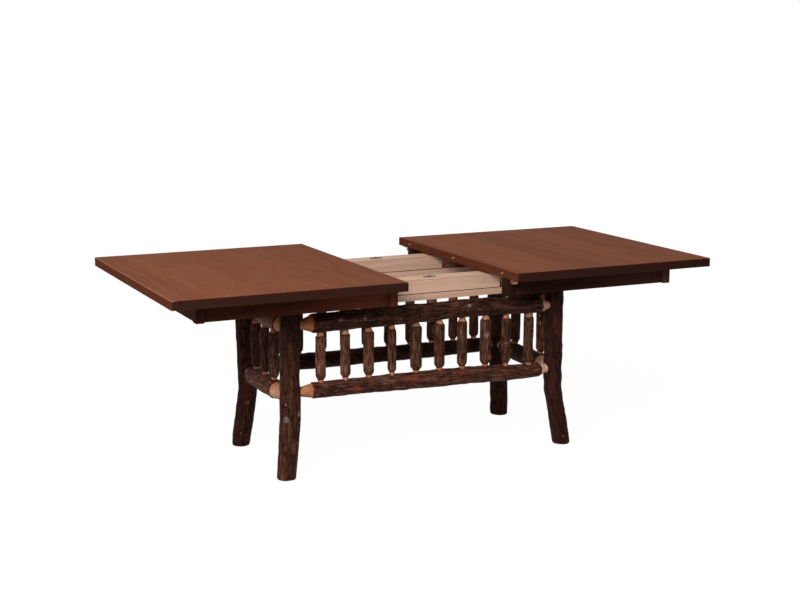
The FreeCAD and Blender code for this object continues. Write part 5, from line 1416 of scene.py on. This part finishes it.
@dataclass
class KeptPieces:
    """The top boards, slides, cleats, gears, locks, screws and dowels, which keep their own shapes.
    """

    frame: dict

    def dress(self, finishes: Wardrobe) -> None:
        """Give each node that keeps its own shape its finish.

        Args:
            finishes: all finishes.
        """
        table = {"seam_dowels": finishes.birch}
        for half in ("left", "right"):
            table |= {f"top_{half}": finishes.top, f"cleats_{half}": finishes.maple,
                      f"bearer_{half}": finishes.bearer, f"racks_{half}": finishes.steel,
                      f"screws_{half}": finishes.steel}
        for row in ("front", "back"):
            table |= {f"slide_{place}_{row}": finishes.maple for place in ("left", "right", "centre")}
            table |= {f"pinion_{row}": finishes.steel, f"lock_lever_{row}": finishes.brass}
        table |= dict.fromkeys(("pinion_plates", "pinion_pins", "base_screws"), finishes.steel)
        table |= dict.fromkeys(("lock_plates", "lock_keepers"), finishes.brass)
        for name, material in table.items():
            for slot in self.frame["nodes"][name].material_slots:
                slot.material = material
            LOG.info("%s keeps its shape, finish %s", name, material.name)


# ---------------------------------------------------------------------------- stage


@dataclass
class Studio:
    """Floor, soft lamps, white surroundings and the camera, in metres.

    Towards fade's second distance from the middle the floor's glow goes from glow to plain white,
    and hidden is the share of the glow that the camera sees in place of the lit floor near the table.
    """

    eye: tuple[float, float, float] = (-2.603336, -5.392608, 1.743251)
    yaw: float = 0.4475
    pitch: float = 0.1871
    roll: float = 0.0033
    focal_pixels: float = 1473.93
    picture_width: float = 800.0
    sensor: float = 36.0
    ambient: float = 0.22
    fade: tuple[float, float] = (1.4, 3.2)
    glow: float = 1.1
    hidden: float = 0.88
    floor_reach: float = 7.0

    @staticmethod
    def seen(tree: Tree) -> Socket:
        """1 for what the camera sees, directly, in a reflection or through glass, and 0 for light.

        Args:
            tree: the nodes of the floor's material or of the world.
        Returns:
            The value.
        """
        path = tree.add("ShaderNodeLightPath")
        first = tree.math("MAXIMUM", path.outputs["Is Camera Ray"], path.outputs["Is Glossy Ray"])
        return tree.math("MAXIMUM", first, path.outputs["Is Transmission Ray"])

    def floor(self) -> None:
        """A pale floor that is white to the camera but keeps a trace of the object's shadow."""
        material = bpy.data.materials.new("studio_floor")
        material.use_nodes = True
        tree = Tree(material.node_tree)
        for node in list(material.node_tree.nodes):
            material.node_tree.nodes.remove(node)
        matte = tree.add("ShaderNodeBsdfDiffuse", {"Color": (0.6, 0.6, 0.6, 1.0)})
        place = tree.add("ShaderNodeTexCoord").outputs["Object"]
        far = tree.add("ShaderNodeVectorMath", {0: place}, operation="LENGTH").outputs["Value"]
        strength = tree.ease(far, *self.fade, self.glow, 1.0)
        glow = tree.add("ShaderNodeEmission", {"Color": WHITE, "Strength": strength})
        share = tree.times(self.seen(tree), tree.ease(far, *self.fade, self.hidden, 1.0))
        mixed = tree.add("ShaderNodeMixShader", {0: share, 1: matte.outputs[0], 2: glow.outputs[0]})
        tree.add("ShaderNodeOutputMaterial", {0: mixed.outputs[0]})
        size = self.floor_reach
        mesh = bpy.data.meshes.new("studio_floor")
        mesh.from_pydata([(-size, -size, 0.0), (size, -size, 0.0), (size, size, 0.0), (-size, size, 0.0)],
                         [], [(0, 1, 2, 3)])
        mesh.materials.append(material)
        floor = bpy.data.objects.new("studio_floor", mesh)
        bpy.context.scene.collection.objects.link(floor)

    def world(self) -> None:
        """Even light from all round, and plain white to the camera and in reflections."""
        world = bpy.data.worlds.new("studio_world")
        bpy.context.scene.world = world
        world.use_nodes = True
        tree = Tree(world.node_tree)
        background = world.node_tree.nodes["Background"]
        background.inputs["Color"].default_value = WHITE
        strength = tree.ease(self.seen(tree), 0.0, 1.0, self.ambient, 1.0)
        world.node_tree.links.new(strength, background.inputs["Strength"])

    def lamp(self, name: str, place: tuple[float, float, float], target: tuple[float, float, float],
             size: tuple[float, float], power: float) -> None:
        """A rectangular soft lamp aimed at a point.

        Args:
            name: the lamp's name.
            place, target: where it hangs and what it points at.
            size: its two sides.
            power: its strength in watts.
        """
        data = bpy.data.lights.new(name, "AREA")
        data.shape, data.size, data.size_y, data.energy = "RECTANGLE", size[0], size[1], power
        lamp = bpy.data.objects.new(name, data)
        lamp.location = place
        lamp.rotation_euler = (Vector(target) - Vector(place)).to_track_quat("-Z", "Y").to_euler()
        bpy.context.scene.collection.objects.link(lamp)

    def camera(self) -> None:
        """The photograph's camera: forward (sin y cos p, cos y cos p, -sin p), then rolled."""
        sin_y, cos_y = math.sin(self.yaw), math.cos(self.yaw)
        sin_p, cos_p = math.sin(self.pitch), math.cos(self.pitch)
        forward = Vector((sin_y * cos_p, cos_y * cos_p, -sin_p))
        right = Vector((cos_y, -sin_y, 0.0))
        up = right.cross(forward)
        turned = right * math.cos(self.roll) + up * math.sin(self.roll)
        raised = turned.cross(forward)
        data = bpy.data.cameras.new("photo_camera")
        data.sensor_width = self.sensor
        data.lens = self.focal_pixels * self.sensor / self.picture_width
        data.clip_end = 100.0
        camera = bpy.data.objects.new("photo_camera", data)
        camera.matrix_world = Matrix((
            (turned.x, raised.x, -forward.x, self.eye[0]),
            (turned.y, raised.y, -forward.y, self.eye[1]),
            (turned.z, raised.z, -forward.z, self.eye[2]),
            (0.0, 0.0, 0.0, 1.0)))
        bpy.context.scene.collection.objects.link(camera)
        bpy.context.scene.camera = camera

    def build(self) -> None:
        """Set up the whole stage."""
        self.floor()
        self.world()
        self.lamp("key_softbox", (-3.2, -3.6, 3.2), (0.0, 0.0, 0.6), (1.8, 1.8), 200.0)
        self.lamp("top_softbox", (-0.6, 0.4, 3.6), (0.0, 0.0, 0.7), (3.0, 2.0), 24.0)
        self.camera()
        bpy.context.scene.view_settings.view_transform = "Standard"


def main() -> None:
    """Build the stage, then every part of the table."""
    logging.basicConfig(level=logging.INFO, format="%(name)s: %(message)s")
    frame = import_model()
    Studio().build()
    finishes = Wardrobe()
    LogBase().build(finishes)
    for side, sign, end in (("left", -1, 1033.1), ("right", 1, 1013.1)):
        TopHalf(side, sign, end).build(finishes)
    KeptPieces(frame).dress(finishes)


if __name__ == "__main__":
    main()
